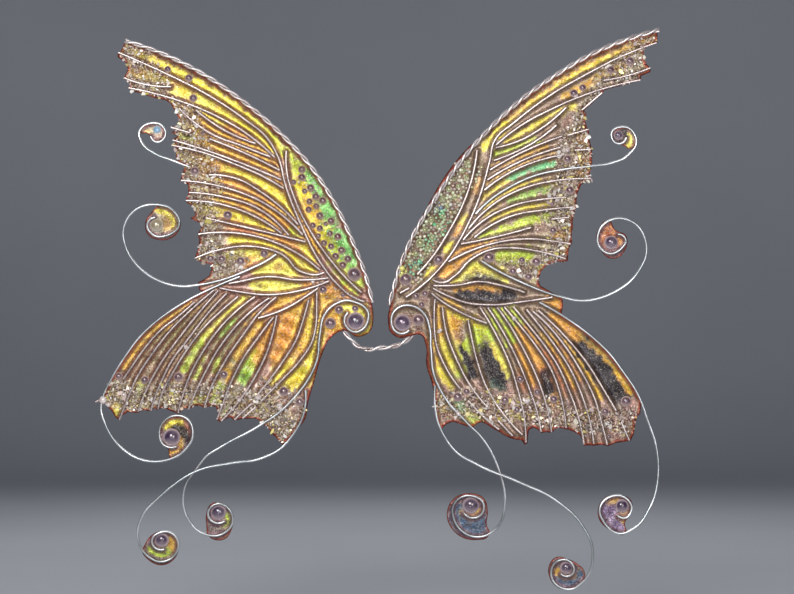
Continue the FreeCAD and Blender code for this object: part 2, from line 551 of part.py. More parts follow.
def straight_run(run, side, y):
    """Straight edges through the points."""
    points = place(run, side, y)
    return [Part.LineSegment(a, b).toShape() for a, b in zip(points, points[1:])]


def smooth_run(run, side, y):
    points = place(run, side, y)
    return chain(points, directions(points))


def strand(edges, phase, start, end):
    """One strand of a twisted pair along a planar centre line."""
    lengths = [edge.Length for edge in edges]
    count = max(3, int(round((end - start) / TWIST_PITCH * STEPS_PER_TURN)))
    rate = 2 * math.pi / TWIST_PITCH
    back = vec(0, 1, 0)
    points = []
    tangents = []
    for k in range(count + 1):
        s = start + (end - start) * k / count
        centre, heading = station(edges, lengths, s)
        across = heading.cross(back)
        angle = phase + rate * s
        arm = across * math.cos(angle) + back * math.sin(angle)
        swing = back * math.cos(angle) - across * math.sin(angle)
        points.append(centre + arm * TWIST_R)
        slope = heading + swing * (TWIST_R * rate)
        tangents.append(slope * (1.0 / slope.Length))
    return tube(chain(points, tangents), STRAND_D)


def station(edges, lengths, s):
    """Point and heading at distance s along a chain."""
    for edge, length in zip(edges, lengths):
        if s <= length or edge is edges[-1]:
            at = edge.getParameterByLength(min(s, length))
            return edge.valueAt(at), edge.tangentAt(at)
        s -= length


def tipped(points, tangents, first_free, degrees):
    """Turns the free part of a run about its tangent at the last fixed point.

    A positive angle brings the far end towards the front.
    """
    pivot = points[first_free - 1]
    axis = tangents[first_free - 1]
    sense = 1 if axis.cross(points[-1] - pivot).y < 0 else -1
    turn = FreeCAD.Rotation(axis, sense * degrees)
    points = points[:first_free] + [
        pivot + turn.multVec(point - pivot) for point in points[first_free:]]
    tangents = tangents[:first_free] + [
        turn.multVec(tangent) for tangent in tangents[first_free:]]
    return points, tangents, pivot, turn


def turned(shape, pivot, turn):
    """A copy of a shape carried by a tendril's turn."""
    copy = shape.copy()
    copy.Placement = FreeCAD.Placement(pivot - turn.multVec(pivot), turn).multiply(copy.Placement)
    return copy


def save(name, shapes):
    shape = shapes[0] if len(shapes) == 1 else Part.makeCompound(shapes)
    for solid in shape.Solids:
        if not solid.isValid():
            print("NOT VALID", name)
    if len(shape.Solids) != len(shapes):
        print("SOLIDS", name, len(shape.Solids), len(shapes))
    shape.exportStep("parts/" + name + ".step")
    box = shape.BoundBox
    print(name, len(shape.Solids), "vol %.2f" % shape.Volume,
          "x %.1f %.1f y %.2f %.2f z %.1f %.1f" % (box.XMin, box.XMax, box.YMin, box.YMax,
                                                 box.ZMin, box.ZMax))


# ------------------------------------------------------------ the glued pieces

def film(wing, side):
    """The wing's sheet: smooth along the wires, torn and cut along the hems."""
    top = wing["top_line"]
    outer = wing["outer_line"]
    inner = wing["inner_line"]
    edges = smooth_run(top, side, 0)
    edges += straight_run([top[-1]] + wing["upper_hem"], side, 0)
    edges += smooth_run(outer, side, 0)
    edges += straight_run([outer[-1]] + wing["lower_hem"], side, 0)
    edges += smooth_run(inner, side, 0)
    return plate(edges, FILM_FRONT, FILM_T)


def glued_wires(runs, side, taken):
    """Single wires on the film, each ending clear of the ones before it."""
    wires = []
    for run in runs:
        edges = smooth_run(butted(run, side, taken), side, WIRE_Y)
        taken += footprint(edges, WIRE_D / 2)
        wires.append(tube(edges, WIRE_D))
    return wires


def tendril(wing, side, base, free, degrees, taken):
    """A wire glued to the film as far as the hem, then free to its spiral."""
    fixed = butted(wing[base], side, taken)
    points = place(fixed + wing[free], side, WIRE_Y)
    tangents = directions(points)
    flat = chain(points, tangents)
    taken += footprint(flat, WIRE_D / 2)
    points, tangents, pivot, turn = tipped(points, tangents, len(fixed), degrees)
    return tube(chain(points, tangents), WIRE_D), pivot, turn


def pearls(spots, side, front, taken):
    """Half-pearls as large as the room between the wires lets them be."""
    shapes = []
    for out, up, radius in spots:
        x = side * out
        near = nearby(x, up, taken, 6)
        room = clearance(x, up, near) - 0.03 if near else radius
        fitted = min(radius, room)
        if fitted < 0.35:
            print("no room for a pearl at", out, up, "%.2f" % room)
            continue
        shapes.append(dome(x, front, up, fitted, 0.62 * fitted))
        taken.append((x, up, fitted))
    return shapes


def build_wing(name, side, wing, tips):
    taken = []
    save(name + "_film", [film(wing, side)])

    edge = smooth_run(wing["leading_edge"], side, TWIST_Y)
    length = sum(piece.Length for piece in edge)
    taken += footprint(edge, TWIST_HALF)
    save(name + "_leading_edge_strand_a", [strand(edge, 0, 0, length)])
    save(name + "_leading_edge_strand_b", [strand(edge, math.pi, 0, length)])
    save(name + "_long_rib", glued_wires([wing["rib_a"]], side, taken))
    save(name + "_inner_rib", glued_wires([wing["rib_b"]], side, taken))

    for part, base in (("lower", "root_spiral"), ("tail", "inner_hem"),
                       ("outer", "hindwing_edge"), ("middle", "middle_base"),
                       ("upper", "upper_base")):
        wire, pivot, turn = tendril(wing, side, base, part + "_tendril", tips[part], taken)
        save(name + "_" + part + "_tendril", [wire])
        disc = plate(closed_loop(wing[part + "_disc"], side, 0), DISC_FRONT, DISC_T)
        save(name + "_" + part + "_disc", [turned(disc, pivot, turn)])
        pearl = pearls([wing[part + "_cabochon"]], side, DISC_FRONT, taken)
        save(name + "_" + part + "_cabochon", [turned(pearl[0], pivot, turn)])

    lens = [wing["lens_top"], wing["lens_bottom"], wing["lens_lower"]]
    save(name + "_lens_veins", glued_wires(lens, side, taken))
    save(name + "_forewing_veins", glued_wires(wing["forewing_veins"], side, taken))
    save(name + "_hindwing_veins", glued_wires(wing["hindwing_veins"], side, taken))
    save(name + "_root_cabochon", pearls([wing["root_cabochon"]], side, FILM_FRONT, taken))
    save(name + "_root_pearls", pearls(wing["root_pearls"], side, FILM_FRONT, taken))
    save(name + "_edge_beads", pearls(wing["beads_near_edge"], side, FILM_FRONT, taken))
    save(name + "_hem_pearls", pearls(wing["hem_pearls"], side, FILM_FRONT, taken))


def distance_to_x(edges, x):
    """Distance along the bridge at which it passes the given x."""
    lengths = [edge.Length for edge in edges]
    total = sum(lengths)
    low = 0.0
    high = total
    for _ in range(40):
        middle = (low + high) / 2
        if station(edges, lengths, middle)[0].x < x:
            low = middle
        else:
            high = middle
    return low


def build_bridge():
    """The twisted pair from the back of one wing to the back of the other."""
    edges = smooth_run(BRIDGE, 1, 0)
    total = sum(edge.Length for edge in edges)
    marks = [distance_to_x(edges, x) for x in (-NECK_OUT, -NECK_IN, NECK_IN, NECK_OUT)]
    stretches = [
        ("left_bridge_tail", 0, marks[0]),
        ("left_neck", marks[0], marks[1]),
        ("bridge", marks[1], marks[2]),
        ("right_neck", marks[2], marks[3]),
        ("right_bridge_tail", marks[3], total)]
    for name, start, end in stretches:
        save(name, [strand(edges, 0, start, end), strand(edges, math.pi, start, end)])


build_wing("left", -1, LEFT, {
    "lower": -5, "tail": 8, "outer": 4, "middle": 5, "upper": -6})
build_wing("right", 1, RIGHT, {
    "lower": -7, "tail": 9, "outer": 5, "middle": 4, "upper": -7})
build_bridge()
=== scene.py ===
import math

import bpy
import numpy as np
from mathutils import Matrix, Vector
from mathutils.bvhtree import BVHTree
from mathutils.geometry import delaunay_2d_cdt


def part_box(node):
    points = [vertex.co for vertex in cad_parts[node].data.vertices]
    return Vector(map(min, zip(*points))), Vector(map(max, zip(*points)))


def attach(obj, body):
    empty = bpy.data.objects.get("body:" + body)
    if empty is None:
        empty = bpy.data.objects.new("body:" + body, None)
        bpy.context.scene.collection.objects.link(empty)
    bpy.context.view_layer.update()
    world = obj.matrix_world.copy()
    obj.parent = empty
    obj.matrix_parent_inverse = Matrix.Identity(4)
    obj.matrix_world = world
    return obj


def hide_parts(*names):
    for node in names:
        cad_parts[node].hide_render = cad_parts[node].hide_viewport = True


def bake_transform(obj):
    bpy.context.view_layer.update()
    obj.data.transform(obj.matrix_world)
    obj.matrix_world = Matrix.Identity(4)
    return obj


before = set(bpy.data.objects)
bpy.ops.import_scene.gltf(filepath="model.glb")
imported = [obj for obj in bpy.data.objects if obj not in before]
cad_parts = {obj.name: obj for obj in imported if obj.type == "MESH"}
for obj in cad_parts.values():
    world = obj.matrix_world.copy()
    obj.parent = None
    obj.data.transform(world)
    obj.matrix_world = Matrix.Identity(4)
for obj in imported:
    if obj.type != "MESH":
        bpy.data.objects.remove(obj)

# A pair of ornamental fairy wings in laminated iridescent film on silver wire.
# The CAD wires and half-pearls stay and get their finish here. The films, the
# fused glitter, the loose granules and the soft necks are made here.
# Places on a wing are (out, up) in mm, with out measured away from the bridge.

MM = 0.001
scene = bpy.context.scene
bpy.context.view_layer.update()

# ---- dimensions

FILM_SPACING = 0.36  # mesh spacing of the wing films
RIM_SPACING = 0.5  # spacing along a wing film's cut edge
FILM_THICK = 0.13  # thickness of the shown film
FILM_REST_Y = -0.70  # front of the film between wires
TENT_RISE = 0.50  # how far it climbs to a wire
TENT_WIDTH = 0.85  # half width of that climb
CRINKLE = 0.10  # height of the film's waves
CRINKLE_LENGTHS = (3, 8)  # and their length
CRUST_HEIGHT = 0.16  # extra waves where glitter is fused
CRUST_LENGTHS = (0.9, 2.2)
FACET = 0.09  # and how far single points stand out there
FACETED = 0.45  # glitter cover above which the film is shaded flat
COLOUR_WANDER = 0.4  # how far the edges of the colours stray
WANDER_LENGTHS = (1.5, 4)
DISC_SPACING = 0.34  # mesh spacing of the spiral films
DISC_RIM_SPACING = 0.4
DISC_THICK = 0.12
DISC_CRINKLE = 0.07
DISC_LENGTHS = (1.6, 4)
DISC_REST = 0.06  # how far it lies behind the CAD sheet's front between wires
DISC_RISE = 0.22
DISC_RISE_WIDTH = 0.6
WIRE_RADIUS = 0.3
DISC_RIM_SCALE = 2.2
DISC_GRAIN = 0.12  # the little glitter on the spiral films
CELL_REACH = 6  # the widest gap measured between wires
OPEN_CELL = 0.4  # half width taken where no wire is near

CHIP_GAP = 0.62  # least distance between glitter chips
CHIP_TRIES = 16000
CHIP_AREA = [(3, -26), (72, 80)]  # opposite corners of where chips are tried
SMALL_CHIP = (0.24, 0.52)  # least and greatest size
LARGE_CHIP = (0.55, 0.95)
SMALL_SHARE = 0.74  # share of small chips
CHIP_HALF_THICK = 0.05
CHIP_LIFT = 0.1  # how far a chip's middle stands off the film
CHIP_TILT = 0.45  # most tilt, in radians
GRANULE_TRIES = 9000
GRANULE_LIFT = 0.35  # how far a granule's middle stands off the film, in radii
GLUE_LUMPS = (1, 0.7, 0.5)  # sizes of a drop's lumps
SHELTER_SAMPLES = 6
GROUND_WEIGHT = 0.06  # weight of a film's plain colour among its patches

SIDES = {"left": -1, "right": 1}
RIM_SCALE = {"left": 1.35, "right": 1.1}  # above 1 narrows the red cut edge
TENDRILS = ("lower", "tail", "outer", "middle", "upper")


# ---- colours

def rgb(code):
    """Linear colour from a six-digit sRGB code."""
    values = [int(code[i:i + 2], 16) / 255 for i in (0, 2, 4)]
    return tuple(v / 12.92 if v <= 0.04045 else ((v + 0.055) / 1.055) ** 2.4
                 for v in values)


GOLD = rgb("F2B824")
YELLOW = rgb("FBE52C")
LEMON = rgb("FFF35A")
LIME = rgb("C9E32C")
GREEN = rgb("8FC63A")
LEAF = rgb("86DC74")
MINT = rgb("5BD890")
TEAL = rgb("3FB79A")
ORANGE = rgb("EFA220")
RUST = rgb("C4622A")
ROSE = rgb("B98A86")
MAUVE = rgb("7B6470")
OLIVE = rgb("7D7440")
BROWN = rgb("6E4E36")
DARK = rgb("2B2430")
STEEL = rgb("55789A")
PALE = rgb("C9BCA0")
TAUPE = rgb("94786C")
SLATE = rgb("2F6496")
# Painted shade: a dark rust band along the underside of the twisted leading edge.
ROPE_SHADE = rgb("7E4630")
VIOLET = rgb("7A5E9E")

# Areas of colour in each film: (colour, reach in mm, weight, points (out, up)).
# The colour is strongest along the line through the points and fades with reach.
LEFT_COLOURS = [
    (GOLD, 10, 0.25, [(52, 64), (40, 52), (28, 40)]),
    # Painted shade under the twisted leading edge.
    (ROPE_SHADE, 0.8, 4.5, [(62.9, 75.8), (54.5, 72.8), (44.3, 67.8), (34.3, 61.1), (24.6, 52.6), (20, 47.6)]),
    (ORANGE, 6, 0.35, [(40, 40), (31, 35), (24, 29)]),
    (YELLOW, 1.15, 3, [(61, 74), (52, 69.6), (44, 65.2), (36, 59.8), (30, 55), (26.3, 50.6)]),
    (GOLD, 1.3, 1.4, [(61.6, 70), (59.5, 68)]),
    (YELLOW, 1, 1.6, [(59.8, 67.5), (56, 67), (52.8, 67)]),
    (YELLOW, 1.2, 1.6, [(51.5, 63.8), (48.6, 63.6)]),
    (LEMON, 1.3, 2, [(45.8, 62.2), (42.6, 60.4)]),
    (YELLOW, 1.2, 2.4, [(39.6, 58.6), (34.5, 55.8), (30, 52.6), (27, 49.6)]),
    (YELLOW, 1.1, 2, [(44.6, 59.3), (39.4, 56)]),
    (GOLD, 1.2, 2.2, [(44.6, 56.2), (39.3, 53), (34.3, 50.8), (29, 48.9)]),
    (ORANGE, 1, 1.6, [(37.5, 55.1), (32.6, 52.1)]),
    (LIME, 1.1, 2, [(51, 52.9), (47.6, 52)]),
    (GOLD, 1.2, 1.8, [(44, 51.2), (36, 47.9), (28, 44.7)]),
    (YELLOW, 1.2, 2.4, [(38, 43.9), (32, 42.8), (27, 40), (24.4, 36.8), (22.4, 33.4)]),
    (ORANGE, 1, 1.5, [(40.3, 41.7), (36.7, 40.9)]),
    (GOLD, 1.1, 1.8, [(38.7, 38.5), (33, 37.2), (28, 35.2), (23.2, 32)]),
    (ORANGE, 1, 1.6, [(38.2, 36), (33, 34.9), (29.4, 33.4), (24.4, 30.2)]),
    (YELLOW, 1.5, 2.6, [(45.6, 35), (41, 35.2), (35.5, 34), (31, 31.8), (27.4, 29.5)]),
    (RUST, 1, 1.4, [(35, 29.4), (27, 28.7)]),
    (YELLOW, 1.1, 2.2, [(36.4, 26.9), (29.5, 26.6), (25, 24.6), (21.8, 22.6), (17, 19.2)]),
    (LIME, 1, 1.8, [(21.9, 29.3), (20.6, 28.2)]),
    (YELLOW, 1, 1.8, [(18.7, 26), (17.1, 22.8)]),
    (LEMON, 1.2, 2.4, [(37.7, 23.6), (31.4, 23.7)]),
    (ORANGE, 1.5, 1.8, [(33.4, 21.5), (31.4, 21.7)]),
    (LEMON, 2, 3.2, [(28.6, 19.9), (25.7, 21.8), (22.8, 19.1)]),
    (RUST, 0.9, 1.8, [(26.4, 20.2), (25, 20.3)]),
    (LEMON, 1.2, 2.8, [(31, 15.7), (25, 15.7), (20.5, 15.6)]),
    (ORANGE, 1, 2.4, [(18.9, 15.4), (17.4, 15.5)]),
    (ROSE, 1, 1.8, [(23.6, 46), (22.7, 42), (21.4, 37.2)]),
    (GOLD, 1.1, 2.2, [(20.2, 34), (17.8, 29.2), (15.3, 25)]),
    (YELLOW, 1.6, 2.8, [(20.3, 40.2), (18.7, 37.3)]),
    (LIME, 1.6, 1.8, [(22.6, 48.4), (20.6, 46), (19.6, 42.4)]),
    (LIME, 0.9, 1.6, [(31, 57), (27.6, 53.2), (24.2, 49.6)]),
    (GOLD, 1.5, 2, [(18.2, 36), (16.4, 31.4), (14, 26.8)]),
    (LEAF, 1, 2.2, [(18.4, 44), (16.6, 40.8), (15.4, 38.4)]),
    (LEAF, 1.5, 3, [(13.6, 35.2), (12.6, 32.4)]),
    (YELLOW, 1.6, 2.4, [(17.2, 33), (16, 31.6)]),
    (LIME, 1.6, 2.6, [(14.6, 30.4), (13.4, 27.4)]),
    (LEAF, 1.4, 3, [(10.6, 28), (9, 25), (7.6, 21.6)]),
    (LIME, 1.6, 2.4, [(11.8, 24.2), (9.4, 20.6), (6.2, 16)]),
    (PALE, 3.6, 0.9, [(63.6, 72.6), (62.4, 67), (56, 63.6), (51.8, 59.6), (51, 54)]),
    (PALE, 3.4, 0.8, [(50, 47.4), (47, 41), (44, 31), (42, 25), (41, 20)]),
    (GOLD, 2.6, 0.9, [(24, 12), (19, 11.4), (16.6, 8)]),
    (GOLD, 2.2, 1.8, [(15.4, 12.4), (12.4, 11), (11.6, 4.8)]),
    (ORANGE, 1.2, 1.8, [(11.4, 14.6), (8.4, 14)]),
    (LEMON, 1.3, 2.4, [(9.2, 9.8), (5.2, 10.2), (3.4, 8)]),
    (LIME, 1.2, 2.4, [(2.2, 6.4), (3.2, 4.2), (6.6, 3.6)]),
    (ORANGE, 2.4, 2.4, [(25, 8.6), (23.6, 4), (24.2, -1.6)]),
    (GOLD, 2, 2.2, [(21, 9), (19.2, 3.6), (20.4, -2)]),
    (YELLOW, 2.2, 2.8, [(22, -4.4), (24.4, -8), (18.6, -6)]),
    (YELLOW, 1.6, 2.2, [(16.9, 9), (16, 2), (16.6, -4)]),
    (GOLD, 1, 2.4, [(47, 10.2), (51.4, 7.6), (55, 5.4), (59.2, 1.2), (63.6, -4.4)]),
    (LEMON, 0.9, 4.2, [(33.8, 12.6), (38, 8.4), (41, 5.6), (43.6, 3)]),
    (LIME, 0.9, 2.6, [(43.6, 3), (46.4, -1), (48.8, -5.2)]),
    (LIME, 0.7, 1.8, [(44.4, -1.8), (46, -7.6)]),
    (GREEN, 1.2, 1.8, [(37.6, 6.4), (38.6, 4)]),
    (GOLD, 1.2, 2, [(30.2, 7), (33, 3.6), (35.4, -1.4)]),
    (ORANGE, 1.4, 2.4, [(28.6, 4.4), (30, 0), (31.6, -3)]),
    (GREEN, 1.5, 2.6, [(32.8, -3.6), (34.2, -7)]),
    (LIME, 1.1, 2, [(31.6, -1.6), (33.6, -5.4)]),
    (LIME, 1, 1.8, [(41, -3.2), (40.2, -5)]),
    (GOLD, 1, 1.8, [(38.2, -5.6), (37.4, -7.2)]),
    (LIME, 1.2, 1.4, [(59.8, -9.2), (58.6, -10.6)]),
    (OLIVE, 8, 0.6, [(56, 0), (48, 2), (40, 2)]),
    (ROSE, 5, 0.35, [(58, -4), (46, -4)]),
    (LEMON, 0.9, 3, [(65.7, -14.6), (65.5, -16)]),
    (LIME, 1.1, 2.8, [(46, -13), (44.6, -13.4)]),
    (LIME, 1.2, 2.8, [(41.8, -13.3), (40, -10)]),
    (GREEN, 1, 2.4, [(39, -14.8), (38.6, -16)]),
    (PALE, 3.4, 1, [(66, -11.6), (58, -12.6), (48, -12.4), (38, -13.2), (30, -15.6), (25, -19.6)]),
]

RIGHT_COLOURS = [
    (TAUPE, 12, 0.5, [(56, 64), (44, 52), (30, 40)]),
    # Painted shade under the twisted leading edge.
    (ROPE_SHADE, 0.7, 4, [(68.9, 78.5), (62.5, 76.6), (53.4, 73), (44.4, 67.9), (35.3, 61.5), (27, 54)]),
    (ROSE, 7, 0.15, [(48, 56), (38, 44), (30, 34)]),
    (GOLD, 1, 1.5, [(66, 76.6), (58, 73.2), (48, 68.6), (40, 63), (33, 57.4)]),
    (YELLOW, 0.5, 3.6, [(60, 73.8), (50, 68.9), (40, 62.4), (31.4, 55.6)]),
    (YELLOW, 0.98, 2.6, [(31.6, 56), (28.6, 53), (26, 50.4)]),
    (GOLD, 0.82, 1.8, [(62, 71), (54, 67), (46, 62.8)]),
    (YELLOW, 0.82, 2, [(48, 60.6), (40, 56.3), (32.3, 51.7)]),
    (LIME, 0.82, 2.2, [(40, 51.8), (34, 50.2), (28.9, 48.6)]),
    (GOLD, 0.74, 1.6, [(41.5, 50.2), (34, 47.6), (28.4, 45.4)]),
    (GOLD, 0.74, 1.4, [(43, 47.9), (34, 45.2), (27, 41.4)]),
    (MINT, 0.82, 2.8, [(43, 46), (37, 44.8), (32.4, 42.6)]),
    (YELLOW, 0.82, 2.2, [(31, 41.8), (28, 39.8), (26, 37.8)]),
    (YELLOW, 0.82, 2, [(43, 41.2), (37, 41.4), (31, 38.4), (27, 35.4)]),
    (GREEN, 0.82, 2.6, [(42, 39.9), (37, 38.5), (32.6, 36.6)]),
    (YELLOW, 0.82, 2, [(42, 35.8), (34, 34.8), (27, 32.6)]),
    (LIME, 0.9, 2.6, [(42, 33), (36, 31.4), (29.8, 29), (25, 27.4)]),
    (ORANGE, 1, 1.6, [(28, 27), (22, 24.4)]),
    (LIME, 1.4, 2.2, [(31, 23.2), (36.6, 23.3)]),
    (ORANGE, 1.8, 2.8, [(19.8, 22), (16.8, 19.6)]),
    (LEMON, 1.3, 3.2, [(20, 17.4), (24.2, 20.2), (30.6, 18)]),
    (DARK, 1.23, 7, [(22, 17.3), (26, 17.8), (29.6, 16.6)]),
    (DARK, 1.5, 7.5, [(21, 13.2), (26, 12.8), (31.6, 12.8)]),
    (ORANGE, 0.7, 3.6, [(19.6, 15), (24, 15.3), (30, 14.8)]),
    (ORANGE, 1, 0.6, [(24.6, 42), (24, 39)]),
    (YELLOW, 0.8, 0.6, [(21.4, 33), (20.6, 31.4)]),
    (ORANGE, 0.8, 0.5, [(19.8, 30.2), (19, 28.6)]),
    (YELLOW, 0.7, 0.8, [(17.4, 25.8), (16.6, 24.4)]),
    (YELLOW, 1, 2.4, [(12.6, 19.2), (11.8, 18.2)]),
    (BROWN, 3, 2.4, [(22, 45), (17, 37), (12, 28), (8, 20)]),
    (PALE, 3.4, 0.8, [(66.6, 73), (62, 68), (54, 62), (52, 54), (51.6, 44)]),
    (PALE, 3.4, 0.8, [(48, 36), (46, 28), (43, 22.6), (42, 18)]),
    (ORANGE, 1.4, 2.6, [(51, 52.6), (50.6, 47.6), (50.2, 43.8)]),
    (ORANGE, 1.5, 2.6, [(47, 25.4), (44.6, 27.6)]),
    (LIME, 1.2, 2, [(41, 19.6), (43, 15.4)]),
    (ORANGE, 1.7, 3, [(43.6, 12.4), (45, 8.8)]),
    (GOLD, 2.4, 1.6, [(17, 9), (15.6, 2), (17, -4)]),
    (LIME, 2, 1.3, [(16.4, 0.6), (18.6, -5)]),
    (YELLOW, 0.8, 2.6, [(17.1, 9.2), (21.5, 7.6), (25.8, 5.2)]),
    (DARK, 0.6, 5, [(20.4, -0.2), (21.6, -3.2)]),
    (DARK, 0.9, 7, [(21.6, -3.2), (23.2, -6.6)]),
    (LIME, 1.6, 2.4, [(24.8, 4.2), (23.4, 1)]),
    (LIME, 1.4, 2.2, [(27.6, 5.6), (26.6, 3)]),
    (DARK, 0.9, 6, [(25.8, 0.2), (27.4, -3.6)]),
    (DARK, 1.45, 8, [(27.8, -4.6), (29.8, -8.8)]),
    (TEAL, 1, 0.8, [(28.6, -9), (29.8, -9.6)]),
    (LEMON, 0.9, 4, [(28.8, 0.6), (30.4, -2.4), (31.6, -5.8)]),
    (YELLOW, 1.1, 2.2, [(15.4, -4.6), (17.4, -9)]),
    (LIME, 1.4, 2.4, [(29.2, 8.4), (31.6, 5.2), (33, 2.4)]),
    (LIME, 1, 2, [(32.6, 9.6), (35, 6.6)]),
    (ORANGE, 1.3, 3, [(35.2, 4.2), (37.6, 0.8), (39.8, -3.6)]),
    (ORANGE, 1.2, 2.6, [(34.6, 0.4), (36.2, -3), (37.8, -8.6)]),
    (DARK, 1.01, 8.8, [(41.2, -6.4), (42, -11)]),
    (RUST, 3, 0.6, [(38, -8), (44, -2), (46, -8)]),
    (GOLD, 0.9, 2, [(41.6, 3.4), (45.4, -2.4), (48.4, -8.4)]),
    (ORANGE, 1.4, 3.4, [(43.8, 7), (46.4, 5), (48.8, 3)]),
    (DARK, 1.8, 8, [(50.8, 0.8), (54, -3.6), (57.4, -8.6), (60.2, -12.6)]),
    (GOLD, 0.6, 3.6, [(49, 3.6), (54.4, -0.6), (58.8, -5.6), (62.4, -11)]),
    (GOLD, 0.6, 2.6, [(46.4, 1.2), (50.8, -5.6), (54.6, -12)]),
    (MINT, 1.2, 2.4, [(19.6, -14.4), (20.4, -15)]),
    (LIME, 1.3, 2.2, [(22.2, -17.2), (24.4, -18.8)]),
    (YELLOW, 1.1, 2.4, [(16.2, -13.6), (16.8, -14.6)]),
    (LEMON, 0.9, 3.4, [(33.2, -16.4), (34.6, -16.8)]),
    (ORANGE, 1.4, 2.2, [(44.4, -12.2), (42.6, -15)]),
    (ROSE, 4, 1, [(62, -17), (52, -18), (42, -16), (34, -15), (24, -14), (17, -13)]),
]

# Where glitter is fused to the film: (reach, weight, points (out, up)).
CRUST = {
    "left": [
        (2.8, 0.9, [(65, 73.6), (60, 70.4), (55, 67.4)]),
        (2.6, 1, [(62.6, 66), (56, 63.2), (51.6, 59.6), (49.6, 55)]),
        (3.4, 1, [(50, 53.6), (49, 48), (47.4, 43.4)]),
        (3.6, 1, [(46.4, 38), (43.4, 33), (43, 28.6), (42.6, 24)]),
        (2.8, 0.8, [(47.4, 58), (45.6, 52), (43, 46), (41.4, 40)]),
        (3.4, 1, [(40.6, 21), (36.4, 21.6)]),
        (3.4, 1.1, [(67, -10.6), (62, -12.6), (55, -12), (48, -11.6), (41, -12.4)]),
        (3.6, 1.1, [(41, -12.4), (34, -13), (28, -15.6), (24.6, -20)]),
        (2.4, 0.7, [(29, -9.6), (22, -12), (19.6, -15)]),
        (2, 0.85, [(66.4, 76), (61.6, 74.6), (58.6, 73)]),
        (2, 0.35, [(16.4, 16.4), (12.6, 14), (9.6, 13)])],
    "right": [
        (3, 0.9, [(67, 75.8), (62, 71.4), (56, 67)]),
        (3.2, 1, [(62, 67), (55, 62.4), (51, 57), (50.6, 52)]),
        (3.4, 1, [(50.6, 50), (50.6, 44), (48.4, 38)]),
        (2.6, 0.8, [(47.4, 53), (46.4, 46), (44.6, 40), (42.6, 33)]),
        (3.6, 1, [(46.6, 33), (46, 28), (44.4, 24), (41.6, 21)]),
        (3.4, 1.1, [(62.6, -18), (56, -18.4), (50, -18.6), (44, -17)]),
        (3.8, 1.1, [(44, -16), (36, -15.6), (29, -15), (22, -13.4), (17, -14.4)]),
        (2.2, 0.7, [(40, 18), (36, 20), (32, 21)])],
}

# The strip of loose glass granules: (reach, smallest, largest, spacing, points).
GRANULES = {
    "left": (2.4, 0.2, 0.34, 1, [(18.6, 41.6), (15.6, 36), (12.6, 30), (9.6, 23.6)]),
    "right": (3.6, 0.34, 0.52, 0.72, [(22, 44.6), (18.4, 38.6), (14.4, 31.6), (10.6, 24.6), (7.6, 19)]),
}
# Single larger granules: (out, up, radius, colour).
LARGE_GRANULES = {
    "left": [(14.9, 34.3, 0.4, LEMON), (13, 29.2, 0.4, LEAF), (11.2, 26.6, 0.4, LIME)],
    "right": [(5.5, 19.9, 0.8, LEMON), (15.2, 35, 0.6, STEEL), (13.6, 30.8, 0.5, MINT),
              (9.8, 21.6, 0.5, MINT)],
}
FLAKE_TONES = [rgb(code) for code in (
    "EFE6DC DCCFCB F6F0EA CDB4AE E4C6BE DCCB94 E2CE58 CDB66A A8907C 5A4442 E8DCC8 C6A68E "
    "8E6C66 E9DAD2").split()]
GRANULE_TONES = [rgb(code) for code in (
    "CCC6A0 E8E2C4 8E8468 D2D8B0 6E5C50 C8B498 AEAE82 F2EED6 A68C80 C8BE7A BCA098 DCCEB8").split()]
# Colours that show among the granules, as for the films.
GRANULE_ACCENTS = {
    "left": [(LEAF, 1.4, 2, [(13.6, 35.2), (12.4, 32)]), (LIME, 1.4, 2, [(14.6, 30), (13.4, 27.4)]),
             (LEAF, 1.4, 2, [(10.6, 28), (8.4, 23.6)]), (LEMON, 1.4, 2, [(18.4, 39), (16.6, 32.6)])],
    "right": [(MINT, 1.1, 1.2, [(15.5, 34.2), (14.4, 32)]), (MINT, 1.2, 1.4, [(12.8, 27), (12, 25.6)]),
              (TEAL, 1.4, 2.4, [(9.4, 20.4), (8, 19.8)]), (STEEL, 0.9, 1.4, [(14.4, 35.6), (13.8, 35)]),
              (LEMON, 0.9, 3, [(6.1, 18.8)]), (MINT, 1, 0.8, [(17, 31), (16, 29)])],
}

# Drops of clear glue that dried white: (out, up, radius).
GLUE = {
    "left": [(48.4, 0.2, 0.6), (69.1, -13, 1), (67.8, -14.2, 0.6), (16.8, 16.5, 0.5),
             (25, -15, 0.7), (30.5, -12.3, 0.8), (35.2, -13, 0.6), (63.9, -11.7, 0.6)],
    "right": [(36.6, -13.2, 0.8), (33.5, 7.4, 0.6), (46.8, 49.4, 0.5), (54.5, 66, 0.5),
              (48.8, 62.8, 0.5), (14.8, 4.2, 0.6), (19.6, -16.4, 0.6)],
}

